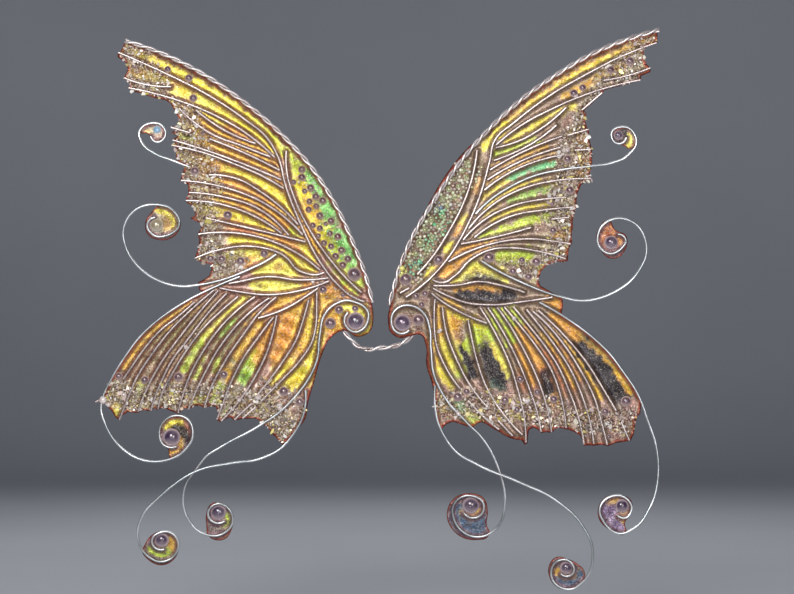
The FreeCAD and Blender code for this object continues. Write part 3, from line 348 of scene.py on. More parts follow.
# The film in each spiral: (colour, reach, weight, points) as above.
DISC_COLOURS = {
    "left_outer": [
        (YELLOW, 0.8, 3, [(53.5, -19.2), (51.5, -18.2), (49.6, -18.6)]),
        (RUST, 0.8, 2, [(48.2, -18.8), (46.8, -21)]),
        (DARK, 1.01, 8.8, [(50.4, -19.8), (48.6, -21), (48, -23.4)]),
        (GOLD, 0.9, 2.6, [(49.6, -22.8), (50, -25), (52, -26)])],
    "left_tail": [
        (LIME, 0.9, 3.4, [(56.6, -50.4), (54.9, -51.3), (53, -50.9)]),
        (GOLD, 0.9, 2.4, [(51.4, -49.8), (51.2, -47.4)]),
        (DARK, 0.67, 6.6, [(57, -52.4), (53, -53.4)])],
    "left_lower": [
        (MAUVE, 2.4, 2, [(40.6, -45.4), (42, -43.6)]), (PALE, 0.8, 1.4, [(40, -44.6)]),
        (LIME, 0.8, 2.4, [(38.3, -42.2), (38.5, -44.6)]), (RUST, 0.9, 1.8, [(38.4, -47), (41.4, -47.6)])],
    "left_middle": [
        (YELLOW, 0.8, 4, [(54.9, 34.6), (52.8, 33.8), (51.2, 32), (51, 29.8)]),
        (PALE, 3, 0.8, [(54, 31)]), (GOLD, 1.6, 1, [(53, 30.6)])],
    "left_upper": [
        (PALE, 3, 1, [(56, 53)]), (ROSE, 1.2, 2, [(55.6, 52.4)]), (GOLD, 0.8, 0.9, [(58.2, 53.8)])],
    "right_lower": [
        (SLATE, 1.8, 6, [(19.8, -42), (21, -44), (23.6, -45), (25.4, -43.8)]),
        (GOLD, 0.7, 5, [(20.4, -41.2), (22.5, -42.5), (25.2, -41.3)])],
    "right_outer": [
        (VIOLET, 1.8, 6, [(56.6, -40), (57, -42.5), (58.4, -45)]),
        (GOLD, 0.7, 4, [(57, -38.4), (58.8, -37.8)]),
        (GOLD, 0.7, 4, [(59.6, -42), (60.8, -42.8), (62.2, -41.6)])],
    "right_tail": [
        (SLATE, 1.4, 6, [(45, -58), (47, -58.6), (49.4, -57.6)]),
        (GOLD, 0.7, 5, [(44.2, -55.8), (45.8, -57.1), (48.1, -56.7)])],
    "right_middle": [(RUST, 3, 2, [(57, 29)]), (ORANGE, 1.2, 2, [(59, 30.6), (61, 27)])],
    "right_upper": [(DARK, 1.57, 4.4, [(60, 53)]), (LEMON, 0.8, 3, [(62, 50.4), (62.6, 53)])],
}


# ---- plane geometry

def runs_to_xz(points, side):
    """(out, up) points as an array of (x, z) in mm."""
    return np.array([(side * out, up) for out, up in points], float)


def distance_to_run(points, run):
    """Distance of each (x, z) point from a polyline."""
    if len(run) == 1:
        return np.linalg.norm(points - run[0], axis=1)
    best = np.full(len(points), 1e9)
    for a, b in zip(run[:-1], run[1:]):
        along = b - a
        t = np.clip((points - a) @ along / max(along @ along, 1e-12), 0, 1)
        best = np.minimum(best, np.linalg.norm(points - a - t[:, None] * along, axis=1))
    return best


def inside(points, loop):
    """Which (x, z) points lie inside a closed loop."""
    result = np.zeros(len(points), bool)
    x, z = points[:, 0], points[:, 1]
    for (x1, z1), (x2, z2) in zip(loop, np.roll(loop, -1, axis=0)):
        if z1 == z2:
            continue
        crosses = (z1 > z) != (z2 > z)
        result ^= crosses & (x < (x2 - x1) * (z - z1) / (z2 - z1) + x1)
    return result


def cut_edge(node):
    """The front face of a flat CAD sheet: its edge loop in mm and its plane.

    The plane is (a, b, c) in y = a + b x + c z.
    """
    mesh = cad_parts[node].data
    corners, edges = {}, {}
    for polygon in mesh.polygons:
        if polygon.normal.y > -0.9:
            continue
        keys = []
        for v in polygon.vertices:
            co = mesh.vertices[v].co / MM
            key = (round(co.x, 3), round(co.z, 3))
            corners[key] = co.y
            keys.append(key)
        for edge in zip(keys, keys[1:] + keys[:1]):
            edges[edge] = True
    after = {a: b for a, b in edges if (b, a) not in edges}
    start = next(iter(after))
    loop = [start]
    while after[loop[-1]] != start:
        loop.append(after[loop[-1]])
    places = np.array([(1, x, z) for x, z in corners])
    plane = np.linalg.lstsq(places, np.array(list(corners.values())), rcond=None)[0]
    return np.array(loop), plane


def resampled(loop, spacing):
    """A loop with its long edges divided and its crowded points thinned."""
    kept = [loop[0]]
    for point in loop[1:]:
        if np.linalg.norm(point - kept[-1]) > 0.3 * spacing:
            kept.append(point)
    result = []
    for a, b in zip(kept, kept[1:] + kept[:1]):
        steps = max(1, int(round(np.linalg.norm(b - a) / spacing)))
        result += [a + (b - a) * k / steps for k in range(steps)]
    return np.array(result)


def filled(loop, spacing, draw):
    """Points and triangles that fill a loop with a loose triangular grid."""
    low, high = loop.min(0), loop.max(0)
    rows = np.arange(low[1], high[1], spacing * math.sqrt(3) / 2)
    grid = []
    for k, z in enumerate(rows):
        xs = np.arange(low[0] + (k % 2) * spacing / 2, high[0], spacing)
        grid.append(np.stack([xs, np.full(len(xs), z)], 1))
    grid = np.concatenate(grid)
    grid = grid + draw.uniform(-0.22, 0.22, grid.shape) * spacing
    closed = np.vstack([loop, loop[:1]])
    grid = grid[inside(grid, loop)]
    grid = grid[distance_to_run(grid, closed) > 0.45 * spacing]
    points = [Vector(p) for p in np.vstack([loop, grid])]
    ring = list(range(len(loop)))
    points, _, faces, _, _, _ = delaunay_2d_cdt(points, [], [ring], 1, 1e-5)
    return np.array([(p.x, p.y) for p in points]), [list(f) for f in faces]


def waves(points, draw, lengths, count):
    """Smooth random height in about -1..1, as a sum of plane waves."""
    height = np.zeros(len(points))
    for _ in range(count):
        angle = draw.uniform(0, 2 * math.pi)
        number = 2 * math.pi / draw.uniform(*lengths)
        height += np.sin(number * (points @ [math.cos(angle), math.sin(angle)])
                         + draw.uniform(0, 2 * math.pi))
    return height / math.sqrt(count)


# ---- shading

def new_material(name):
    material = bpy.data.materials.new(name)
    material.use_nodes = True
    return material, Tree(material.node_tree)


class Tree:
    """Short calls for the nodes that the materials here use."""

    def __init__(self, tree):
        self.tree = tree
        self.shader = tree.nodes["Principled BSDF"]

    def put(self, socket, value):
        """Links a socket, or sets it to a number, a vector or a colour's code."""
        if isinstance(value, bpy.types.NodeSocket):
            self.tree.links.new(value, socket)
        elif isinstance(value, str):
            socket.default_value = (*rgb(value), 1)
        else:
            socket.default_value = value

    def node(self, kind, values=None, **settings):
        """A new node with its settings, and with its inputs set or linked."""
        made = self.tree.nodes.new("ShaderNode" + kind)
        for key, value in settings.items():
            setattr(made, key, value)
        for key, value in (values or {}).items():
            self.put(made.inputs[key], value)
        return made

    def attribute(self, name, output="Fac"):
        return self.node("Attribute", attribute_name=name).outputs[output]

    def vector(self, operation, values):
        return self.node("VectorMath", values, operation=operation).outputs[0]

    def place(self):
        """Object position in mm."""
        return self.vector("SCALE", {0: self.node("TexCoord").outputs["Object"], "Scale": 1 / MM})

    def noise(self, scale, detail=3):
        values = {"Vector": self.place(), "Scale": scale, "Detail": detail, "Roughness": 0.55}
        return self.node("TexNoise", values).outputs["Fac"]

    def cells(self, scale):
        """A random colour for each cell of a Voronoi pattern."""
        return self.node("TexVoronoi", {"Vector": self.place(), "Scale": scale}).outputs["Color"]

    def parts(self, vector):
        """The x, y and z of a vector or colour."""
        return self.node("SeparateXYZ", {0: vector}).outputs

    def math(self, operation, a, b=0):
        return self.node("Math", {0: a, 1: b}, operation=operation).outputs[0]

    def times(self, a, b):
        return self.math("MULTIPLY", a, b)

    def spread(self, value, low, high, to_low=0, to_high=1, smooth=False):
        """value, mapped from low..high to to_low..to_high and held at the ends."""
        values = {"Value": value, "From Min": low, "From Max": high, "To Min": to_low, "To Max": to_high}
        kind = "SMOOTHSTEP" if smooth else "LINEAR"
        return self.node("MapRange", values, interpolation_type=kind).outputs[0]

    def mix(self, amount, a, b, blend="MIX"):
        values = {0: amount, 6: a, 7: b}
        return self.node("Mix", values, data_type="RGBA", blend_type=blend).outputs[2]

    def blend(self, amount, a, b):
        """A number between a and b."""
        return self.node("Mix", {0: amount, 2: a, 3: b}, data_type="FLOAT").outputs[0]

    def shelter(self, reach_mm):
        """How open the surface is to its surroundings, from 0 in a crevice to 1."""
        values = {"Distance": reach_mm * MM}
        return self.node("AmbientOcclusion", values, samples=SHELTER_SAMPLES).outputs["AO"]

    def ramp(self, value, stops, steps=False):
        made = self.node("ValToRGB", {0: value})
        ramp = made.color_ramp
        ramp.interpolation = "CONSTANT" if steps else "LINEAR"
        while len(ramp.elements) < len(stops):
            ramp.elements.new(0.5)
        for element, (at, code) in zip(ramp.elements, stops):
            element.position = at
            element.color = (*rgb(code), 1)
        return made.outputs[0]

    def glittering(self, cell_colour, amount):
        """The surface normal, turned at random from one flake to the next."""
        centred = self.vector("SUBTRACT", {0: cell_colour, 1: (0.5, 0.5, 0.5)})
        scaled = self.vector("SCALE", {0: centred, "Scale": amount})
        normal = self.node("NewGeometry").outputs["Normal"]
        return self.vector("NORMALIZE", {0: self.vector("ADD", {0: normal, 1: scaled})})

    def bump(self, height, strength, distance_mm, normal=None):
        values = {"Height": height, "Strength": strength, "Distance": distance_mm * MM}
        if normal is not None:
            values["Normal"] = normal
        return self.node("Bump", values).outputs[0]

    def set(self, **inputs):
        """The shader's inputs, with _ for the spaces in their names."""
        for key, value in inputs.items():
            self.put(self.shader.inputs[key.replace("_", " ")], value)


def film_material(name, clear, flank_shade):
    """Laminated film: painted highlight stripes along the cells, painted shade on the flanks, a red cut edge.
    """
    material, t = new_material(name)
    wobble = t.noise(0.9, 3)
    ragged = t.noise(2.6, 3)
    tint = t.attribute("tint", "Color")
    grain = t.attribute("grain")
    half = t.attribute("half")
    vein = t.math("ADD", t.attribute("vein"), t.spread(ragged, 0.3, 0.7, -0.12, 0.12))
    rim = t.math("ADD", t.attribute("rim"), t.spread(t.noise(1.8, 3), 0.3, 0.7, -0.38, 0.3))
    flake = t.cells(3.4)
    fleck = t.cells(7)
    flake_a = t.parts(flake)[0]

    # Painted highlight: the lit band and its bright crest run along the middle of each cell, where the flat
    # film would face the lamps.
    wide = t.spread(half, 0.95, 1.5, smooth=True)
    share = t.math("DIVIDE", vein, t.math("MAXIMUM", half, 0.3))
    lit_narrow = t.spread(share, 0.52, 0.84, smooth=True)
    lit_wide = t.spread(vein, 0.5, 0.86, smooth=True)
    lit = t.blend(wide, lit_narrow, lit_wide)
    inner = t.spread(vein, 1.15, 1.9, smooth=True)
    crest_wide = t.times(t.spread(vein, 0.6, 0.9, smooth=True), t.math("SUBTRACT", 1, inner))
    crest = t.blend(wide, t.spread(share, 0.66, 0.95, smooth=True), crest_wide)

    lively = t.spread(t.parts(tint)[1], 0.03, 0.12)  # 0 where the film is dark
    # Painted shade: the flanks that climb to each wire are darkened and reddened, as if turned away from the
    # lamps.
    painted_flank_shade = t.mix(0.6, tint, flank_shade, "MULTIPLY")
    painted_flank_shade = t.mix(t.times(t.spread(lively, 0, 1, 0.35, 1), 0.62), painted_flank_shade, flank_shade)
    body = t.mix(t.spread(wobble, 0.5, 0.66, 0, 0.55), tint, t.mix(0.75, tint, "B08A58", "MULTIPLY"))
    body = t.mix(t.times(t.times(inner, wide), 0.55), body, t.mix(0.85, tint, "C09A70", "MULTIPLY"))
    base = t.mix(lit, painted_flank_shade, body)
    # Painted highlight: the crest turns pale yellow.
    glow = t.times(t.times(crest, lively), t.spread(ragged, 0.38, 0.62, 0, 0.6))
    base = t.mix(glow, base, t.mix(0.34, tint, "FFF4B0"))
    clouds = t.spread(t.noise(0.45, 2), 0.54, 0.68, 0, 0.3)
    base = t.mix(t.times(lively, clouds), base, "8C6A72")
    # Painted shadow: dark brown right against each wire, where the wire shades the film.
    base = t.mix(t.spread(vein, 0.02, 0.3, 0.85, 0, True), base, "3C2624")

    fringe = t.math("SINE", t.times(t.math("ADD", vein, t.spread(wobble, 0, 1, 0, 1.2)), 15))
    bright = t.math("ADD", t.spread(flake_a, 0, 1, 0.74, 1.12), t.times(fringe, 0.09))
    bright = t.times(bright, t.spread(t.parts(fleck)[0], 0, 1, 0.66, 1.3))
    shaded = t.vector("SCALE", {0: base, "Scale": bright})
    # Painted glints: a few cells turn pale, mostly inside the painted highlight band.
    glint = t.spread(t.parts(fleck)[1], 0.84, 0.93, 0, 0.42)
    glint = t.times(glint, t.spread(lit, 0, 1, 0.35, 1))
    glint = t.times(glint, t.spread(lively, 0, 1, 0.6, 1))
    base = t.mix(glint, shaded, "FFF4DC")

    crust = t.ramp(t.parts(t.cells(2.9))[0], [
        (0, "3E2C2C"), (0.16, "8E6E60"), (0.3, "C8B498"), (0.44, "564240"), (0.54, "E2D4C0"),
        (0.68, "B08A80"), (0.77, "D2B84C"), (0.85, "F4EEE6"), (0.94, "6A4C48")], True)
    cover = t.times(grain, t.spread(flake_a, 0.1, 0.6, 0.3, 0.9))
    cover = t.times(cover, t.spread(t.noise(0.6, 3), 0.42, 0.56, 0.45, 1))
    base = t.mix(cover, base, crust)
    edge = t.ramp(rim, [(0, "4A1C1A"), (0.35, "A03424"), (0.8, "C8642E")])
    base = t.mix(t.spread(rim, 0.3, 0.95, 0.92, 0, True), base, edge)

    turn = t.math("ADD", t.times(grain, 0.75), 0.26)
    normal = t.glittering(flake, turn)
    normal = t.bump(t.noise(1.4, 4), 0.45, 0.12, normal)
    t.set(Base_Color=base, Metallic=0.5, Roughness=t.spread(flake_a, 0, 1, 0.3, 0.55), Normal=normal,
          Alpha=clear, Coat_Weight=0.12, Coat_Roughness=0.2, Thin_Film_IOR=1.5,
          Thin_Film_Thickness=t.spread(wobble, 0.3, 0.7, 260, 520))
    return material


def wire_material(name, warm, smooth, rough, dull="B9A9A8", dents=0.25, free=None):
    """Bright tinned wire, with painted shade where it tucks against its neighbours.

    free holds the ramp stops of a cooler tone for where it stands clear of the film.
    """
    material, t = new_material(name)
    tone = t.ramp(t.noise(0.35, 3), [(0.3, dull), (0.7, warm)])
    tarnish = t.spread(t.noise(1.8, 3), 0.55, 0.75, 0, 0.3)
    tone = t.mix(tarnish, tone, "9C8A86")
    if free is not None:
        tone = t.mix(t.spread(t.shelter(3), 0.74, 0.96), tone, t.ramp(t.noise(0.12, 2), free))
    # Painted shade: near-black where the wire is hemmed in, as between twisted strands and at crossings.
    tone = t.mix(t.spread(t.shelter(0.7), 0.34, 0.78, 0.92, 0, True), tone, "2A1E1E")
    t.set(Base_Color=tone, Metallic=0.9, Roughness=t.spread(t.noise(2.5, 3), 0.3, 0.7, smooth, rough),
          Normal=t.bump(t.noise(5, 3), dents, 0.05))
    return material


def pearl_material(name, core, rim):
    """A half-pearl: a dark core, with a painted sheen towards its edge and painted light on its lower side;
    the very edge turns back to the core colour.
    """
    material, t = new_material(name)
    _, forward, upward = t.parts(t.node("TexCoord").outputs["Normal"])
    # Painted sheen towards the edge and painted light on the lower side, set by which way the surface faces.
    edge = t.spread(forward, -0.84, -0.52, 0, 1, True)
    low = t.spread(upward, 0, -0.6, 0, 0.35, True)
    swirl = t.spread(t.noise(0.8, 3), 0.35, 0.65, 0, 0.18)
    body = t.mix(swirl, core, rim)
    body = t.mix(t.math("MINIMUM", t.math("ADD", t.times(edge, 0.88), low), 0.97), body, rim)
    body = t.mix(t.spread(forward, -0.42, -0.28, 0, 0.6, True), body, core)
    t.set(Base_Color=body, Metallic=0.15, Roughness=0.2, Coat_Weight=1, Coat_Roughness=0.05,
          Thin_Film_Thickness=t.spread(t.noise(0.5, 2), 0.3, 0.7, 300, 480), Thin_Film_IOR=1.45,
          Normal=t.bump(t.noise(1.2, 2), 0.15, 0.08))
    return material


def tinted_material(name, metal, rough, coat, passes=0):
    """Small loose pieces, each with its own colour in the tint attribute."""
    material, t = new_material(name)
    tint = t.attribute("tint", "Color")
    base = t.mix(t.spread(t.noise(2.2, 2), 0.35, 0.65, 0, 0.35), tint, "FFF6EA")
    t.set(Base_Color=base, Metallic=metal, Roughness=t.spread(t.noise(3, 2), 0.3, 0.7, rough, rough + 0.16),
          Coat_Weight=coat, Coat_Roughness=0.06, Transmission_Weight=passes,
          Thin_Film_Thickness=360, Thin_Film_IOR=1.4, Normal=t.bump(t.noise(4, 2), 0.2, 0.05))
    return material


def glue_material(name):
    """Clear glue that dried cloudy white."""
    material, t = new_material(name)
    t.set(Base_Color=t.mix(t.spread(t.noise(1.5), 0.4, 0.6), "E9DEDA", "C9B4AE"),
          Roughness=0.25, Coat_Weight=0.8, Normal=t.bump(t.noise(2.5), 0.3, 0.1))
    return material


# ---- mesh helpers

def add_mesh(name, points_mm, faces, material, smooth=True):
    mesh = bpy.data.meshes.new(name)
    mesh.from_pydata([tuple(p) for p in np.asarray(points_mm) * MM], [], faces)
    mesh.polygons.foreach_set("use_smooth", [smooth] * len(mesh.polygons))
    mesh.materials.append(material)
    piece = bpy.data.objects.new(name, mesh)
    scene.collection.objects.link(piece)
    return piece


def add_colours(piece, colours):
    layer = piece.data.attributes.new("tint", "FLOAT_COLOR", "POINT")
    whole = np.ones((len(colours), 4), np.float32)
    whole[:, :3] = colours
    layer.data.foreach_set("color", whole.ravel())


def wire_tree(nodes):
    """One search tree over the surfaces of several CAD nodes, in mm."""
    points, faces = [], []
    for node in nodes:
        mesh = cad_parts[node].data
        first = len(points)
        points += [v.co / MM for v in mesh.vertices]
        faces += [[first + v for v in p.vertices] for p in mesh.polygons]
    return BVHTree.FromPolygons(points, faces)


def across_cells(tree, places):
    """Each place's distance from the nearest wire, and half the width of its cell."""
    gaps = np.zeros(len(places))
    halves = np.full(len(places), OPEN_CELL)
    for k, place in enumerate(map(Vector, places)):
        spot, normal, _, gap = tree.find_nearest(place)
        away = place - spot
        if away.dot(normal) < 0 or gap < 0.001:
            continue
        away.y = 0
        _, _, _, reach = tree.ray_cast(place, away.normalized(), CELL_REACH)
        gaps[k] = gap
        halves[k] = (gap + (CELL_REACH if reach is None else reach)) / 2
    return gaps, halves


def painted(points, side, patches, ground, ground_weight=GROUND_WEIGHT):
    """The film's colour at each point: a blend of the patches near it."""
    colour = np.tile(np.array(ground) * ground_weight, (len(points), 1))
    total = np.full(len(points), ground_weight)
    for tone, reach, weight, run in patches:
        gap = distance_to_run(points, runs_to_xz(run, side))
        share = weight * np.exp(-(gap / reach) ** 3)
        colour += share[:, None] * np.array(tone)
        total += share
    return colour / total[:, None]


def crusted(points, side, zones):
    """How thickly glitter is fused at each point, 0 to 1."""
    cover = np.zeros(len(points))
    for reach, weight, run in zones:
        gap = distance_to_run(points, runs_to_xz(run, side))
        cover = np.maximum(cover, weight * np.exp(-(gap / reach) ** 4))
    return np.clip(cover, 0, 1)


def two_faced(flat, triangles, front_y, back_y):
    """A closed sheet: the front, the back and the strip that joins them."""
    n = len(flat)
    front = np.stack([flat[:, 0], front_y, flat[:, 1]], 1)
    back = np.stack([flat[:, 0], back_y, flat[:, 1]], 1)
    faces, open_edges = [], {}
    for a, b, c in triangles:
        area = np.cross(flat[b] - flat[a], flat[c] - flat[a])
        if area < 0:
            b, c = c, b
        faces.append((a, b, c))
        faces.append((n + a, n + c, n + b))
        for edge in ((a, b), (b, c), (c, a)):
            if not open_edges.pop(edge[::-1], False):
                open_edges[edge] = True
    for a, b in open_edges:
        faces.append((b, a, n + a, n + b))
    return np.vstack([front, back]), faces


# ---- the films

def add_sheet(name, flat, triangles, front_y, thick, tints, material, **numbers):
    """A closed sheet whose front and back carry the same colours and numbers."""
    points, faces = two_faced(flat, triangles, front_y, front_y + thick)
    piece = add_mesh(name, points, faces, material)
    for key, values in numbers.items():
        layer = piece.data.attributes.new(key, "FLOAT", "POINT")
        layer.data.foreach_set("value", np.concatenate([values, values]).astype(np.float32))
    add_colours(piece, np.vstack([tints, tints]))
    return piece


def wires_on(side_name):
    """The CAD nodes of the wires that a wing's film is laminated round."""
    names = ["long_rib", "inner_rib", "lens_veins", "forewing_veins", "hindwing_veins",
             "leading_edge_strand_a", "leading_edge_strand_b"]
    names += [part + "_tendril" for part in TENDRILS]
    return [side_name + "_" + name for name in names]


def wing_film(side_name, wires, seed):
    """The wing's sheet: it climbs to each wire and ripples between them."""
    side = SIDES[side_name]
    draw = np.random.default_rng(seed)
    loop, _ = cut_edge(side_name + "_film")
    loop = resampled(loop, RIM_SPACING)
    flat, triangles = filled(loop, FILM_SPACING, draw)
    lip = distance_to_run(flat, np.vstack([loop, loop[:1]]))
    wire_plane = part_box(side_name + "_long_rib")
    wire_y = (wire_plane[0].y + wire_plane[1].y) / 2 / MM
    radius = (wire_plane[1].y - wire_plane[0].y) / 2 / MM
    places = np.stack([flat[:, 0], np.full(len(flat), wire_y), flat[:, 1]], 1)
    vein, half = across_cells(wires, places)
    grain = crusted(flat, side, CRUST[side_name])

    climb = TENT_RISE * np.exp(-((vein + radius) / TENT_WIDTH) ** 2)
    ripple = CRINKLE * waves(flat, draw, CRINKLE_LENGTHS, 9) * np.clip(vein + radius - 0.4, 0, 1)
    lumps = CRUST_HEIGHT * grain * waves(flat, draw, CRUST_LENGTHS, 14)
    facets = FACET * grain * draw.uniform(-1, 1, len(flat))
    front_y = FILM_REST_Y - climb + ripple - np.abs(lumps) + facets
    wander = np.stack([waves(flat, draw, WANDER_LENGTHS, 9) for _ in range(2)], 1)
    tints = painted(flat + COLOUR_WANDER * wander, side, COLOURS[side_name], GROUNDS[side_name])

    piece = add_sheet(side_name + "_wing_film", flat, triangles, front_y, FILM_THICK, tints, FILMS[side_name],
                      vein=vein, half=half, rim=RIM_SCALE[side_name] * lip, grain=grain)
    rough = np.tile(grain > FACETED, 2)
    smooth = [not (rough[p.vertices[0]] and rough[p.vertices[1]]) for p in piece.data.polygons]
    piece.data.polygons.foreach_set("use_smooth", smooth)
    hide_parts(side_name + "_film")
    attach(piece, side_name + "_wing")
    return piece


def disc_film(side_name, part, wires, seed):
    """The film that fills a tendril's spiral, in the spiral's own tipped plane."""
    node = side_name + "_" + part + "_disc"
    draw = np.random.default_rng(seed)
    loop, plane = cut_edge(node)
    loop = resampled(loop, DISC_RIM_SPACING)
    flat, triangles = filled(loop, DISC_SPACING, draw)
    lip = distance_to_run(flat, np.vstack([loop, loop[:1]]))
    sheet_y = plane[0] + flat @ plane[1:]
    places = np.stack([flat[:, 0], sheet_y - WIRE_RADIUS, flat[:, 1]], 1)
    vein, half = across_cells(wires, places)
    ripple = DISC_CRINKLE * waves(flat, draw, DISC_LENGTHS, 7)
    climb = DISC_RISE * np.exp(-((vein + WIRE_RADIUS) / DISC_RISE_WIDTH) ** 2)
    front_y = sheet_y + DISC_REST + ripple - climb
    tints = painted(flat, SIDES[side_name], DISC_COLOURS[side_name + "_" + part], MAUVE)
    piece = add_sheet(node + "_film", flat, triangles, front_y, DISC_THICK, tints, DISC,
                      vein=vein, half=half, rim=DISC_RIM_SCALE * lip, grain=np.full(len(lip), DISC_GRAIN))
    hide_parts(node)
    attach(piece, side_name + "_wing")


# ---- loose glitter and glass

def scattered(draw, low, high, tries, wanted, gap):
    """Random (x, z) places inside a box that keep a distance from each other."""
    taken, places = {}, []
    for _ in range(tries):
        spot = draw.uniform(low, high)
        column, row = int(spot[0] // gap), int(spot[1] // gap)
        near = [p for i in (-1, 0, 1) for j in (-1, 0, 1) for p in taken.get((column + i, row + j), ())]
        if any((spot[0] - p[0]) ** 2 + (spot[1] - p[1]) ** 2 < gap * gap for p in near):
            continue
        if not wanted(spot):
            continue
        taken.setdefault((column, row), []).append(spot)
        places.append(spot)
    return places


def surface_y(sheet, x, z):
    """Where the shown film's front lies at (x, z), in mm, or None off its edge."""
    spot, _, _, _ = sheet.ray_cast(Vector((x, -8, z)), Vector((0, 1, 0)))
    return None if spot is None else spot.y


def tilted(draw, most):
    """A rotation matrix: a random turn in the film's plane, then a random tilt."""
    turn = draw.uniform(0, 2 * math.pi)
    tip = draw.uniform(-most, most)
    roll = draw.uniform(-most, most)
    ct, st = math.cos(turn), math.sin(turn)
    cp, sp = math.cos(tip), math.sin(tip)
    cr, sr = math.cos(roll), math.sin(roll)
    spin = np.array([[ct, 0, st], [0, 1, 0], [-st, 0, ct]])
    pitch = np.array([[1, 0, 0], [0, cp, -sp], [0, sp, cp]])
    bank = np.array([[cr, -sr, 0], [sr, cr, 0], [0, 0, 1]])
    return bank @ pitch @ spin


def flake_shape(draw, size):
    """An irregular thin chip: its corners and faces."""
    sides = int(draw.integers(4, 7))
    angles = np.arange(sides) * 2 * math.pi / sides + draw.uniform(-0.4, 0.4, sides)
    reach = size * draw.uniform(0.5, 1.3, sides)
    narrow = draw.uniform(0.45, 0.9)
    rim = np.stack([reach * np.cos(angles), np.zeros(sides), narrow * reach * np.sin(angles)], 1)
    corners = np.vstack([rim - [0, CHIP_HALF_THICK, 0], rim + [0, CHIP_HALF_THICK, 0]])
    front = tuple(range(sides))
    back = tuple(range(2 * sides - 1, sides - 1, -1))
    walls = [(k, k + sides, (k + 1) % sides + sides, (k + 1) % sides) for k in range(sides)]
    return corners, [front, back] + walls


class Heap:
    """Many small shapes that become one mesh."""

    def __init__(self):
        self.points, self.faces, self.colours = [], [], []

    def add(self, corners, shape, tone=None):
        first = len(self.points)
        self.points += list(corners)
        self.faces += [tuple(first + k for k in f) for f in shape]
        self.colours += [tone] * len(corners)


def flakes(side_name, sheet, seed):
    """Chips of glitter fused along the hems."""
    side = SIDES[side_name]
    draw = np.random.default_rng(seed)
    area = runs_to_xz(CHIP_AREA, side)
    low, high = area.min(0), area.max(0)

    def wanted(spot):
        cover = crusted(np.array([spot]), side, CRUST[side_name])[0]
        return draw.uniform(0.15, 1.1) < cover

    heap = Heap()
    for spot in scattered(draw, low, high, CHIP_TRIES, wanted, CHIP_GAP):
        y = surface_y(sheet, spot[0], spot[1])
        if y is None:
            continue
        sizes = SMALL_CHIP if draw.uniform() < SMALL_SHARE else LARGE_CHIP
        corners, shape = flake_shape(draw, draw.uniform(*sizes))
        corners = corners @ tilted(draw, CHIP_TILT).T + [spot[0], y - CHIP_LIFT, spot[1]]
        heap.add(corners, shape, FLAKE_TONES[int(draw.integers(len(FLAKE_TONES)))])
    piece = add_mesh(side_name + "_fused_glitter", heap.points, heap.faces, GLITTER, smooth=False)
    add_colours(piece, np.array(heap.colours))
    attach(piece, side_name + "_wing")


def ball(draw, radius, rings=5, spokes=7):
    """A lumpy little ball as corners and faces."""
    points = [(0, -radius, 0)]
    for i in range(1, rings):
        a = math.pi * i / rings
        for k in range(spokes):
            b = 2 * math.pi * (k + 0.5 * (i % 2)) / spokes
            r = radius * draw.uniform(0.86, 1.12)
            points.append((r * math.sin(a) * math.cos(b), -r * math.cos(a), r * math.sin(a) * math.sin(b)))
    points.append((0, radius, 0))
    faces = [(0, 1 + k, 1 + (k + 1) % spokes) for k in range(spokes)]
    for i in range(rings - 2):
        a, b = 1 + i * spokes, 1 + (i + 1) * spokes
        for k in range(spokes):
            n = (k + 1) % spokes
            faces.append((a + k, b + k, b + n, a + n))
    last = len(points) - 1
    a = 1 + (rings - 2) * spokes
    faces += [(a + k, last, a + (k + 1) % spokes) for k in range(spokes)]
    return np.array(points), faces


def granules(side_name, sheet, wires, seed):
    """Tiny glass granules glued in the strip behind the leading edge."""
    side = SIDES[side_name]
    draw = np.random.default_rng(seed)
    reach, smallest, largest, spacing, run = GRANULES[side_name]
    line = runs_to_xz(run, side)
    low, high = line.min(0) - reach, line.max(0) + reach
    accents = GRANULE_ACCENTS[side_name]

    def wanted(spot):
        return distance_to_run(np.array([spot]), line)[0] < reach * draw.uniform(0.7, 1)

    heap = Heap()
    for spot in scattered(draw, low, high, GRANULE_TRIES, wanted, spacing):
        y = surface_y(sheet, spot[0], spot[1])
        if y is None:
            continue
        _, _, _, gap = wires.find_nearest(Vector((spot[0], y, spot[1])))
        radius = min(draw.uniform(smallest, largest), gap)
        if radius < 0.6 * smallest:
            continue
        corners, shape = ball(draw, radius)
        ground = GRANULE_TONES[int(draw.integers(len(GRANULE_TONES)))]
        tone = painted(np.array([spot]), side, accents, ground, 0.7)[0] * draw.uniform(0.7, 1.5)
        heap.add(corners + [spot[0], y - GRANULE_LIFT * radius, spot[1]], shape, tuple(np.clip(tone, 0, 1)))
    for out, up, radius, tone in LARGE_GRANULES[side_name]:
        corners, shape = ball(draw, radius, 9, 14)
        y = surface_y(sheet, side * out, up)
        heap.add(corners + [side * out, y - 0.6 * radius, up], shape, tone)
    piece = add_mesh(side_name + "_glass_granules", heap.points, heap.faces, GLASS_BEAD)
    add_colours(piece, np.array(heap.colours))
    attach(piece, side_name + "_wing")


def glue_drops(side_name, sheet, seed):
    """Drops of glue that dried white, each made of three lumps."""
    side = SIDES[side_name]
    draw = np.random.default_rng(seed)
    heap = Heap()
    for out, up, radius in GLUE[side_name]:
        x = side * out
        y = surface_y(sheet, x, up)
        y = -1 if y is None else y
        for k, size in enumerate(GLUE_LUMPS):
            small = radius * size
            corners, shape = ball(draw, small, 7, 10)
            shift = draw.uniform(-0.6, 0.6, 2) * radius * (k > 0)
            heap.add(corners * [1, 0.6, 1] + [x + shift[0], y - 0.3 * small, up + shift[1]], shape)
    piece = add_mesh(side_name + "_glue_drops", heap.points, heap.faces, GLUE_WHITE)
    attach(piece, side_name + "_wing")


# ---- materials

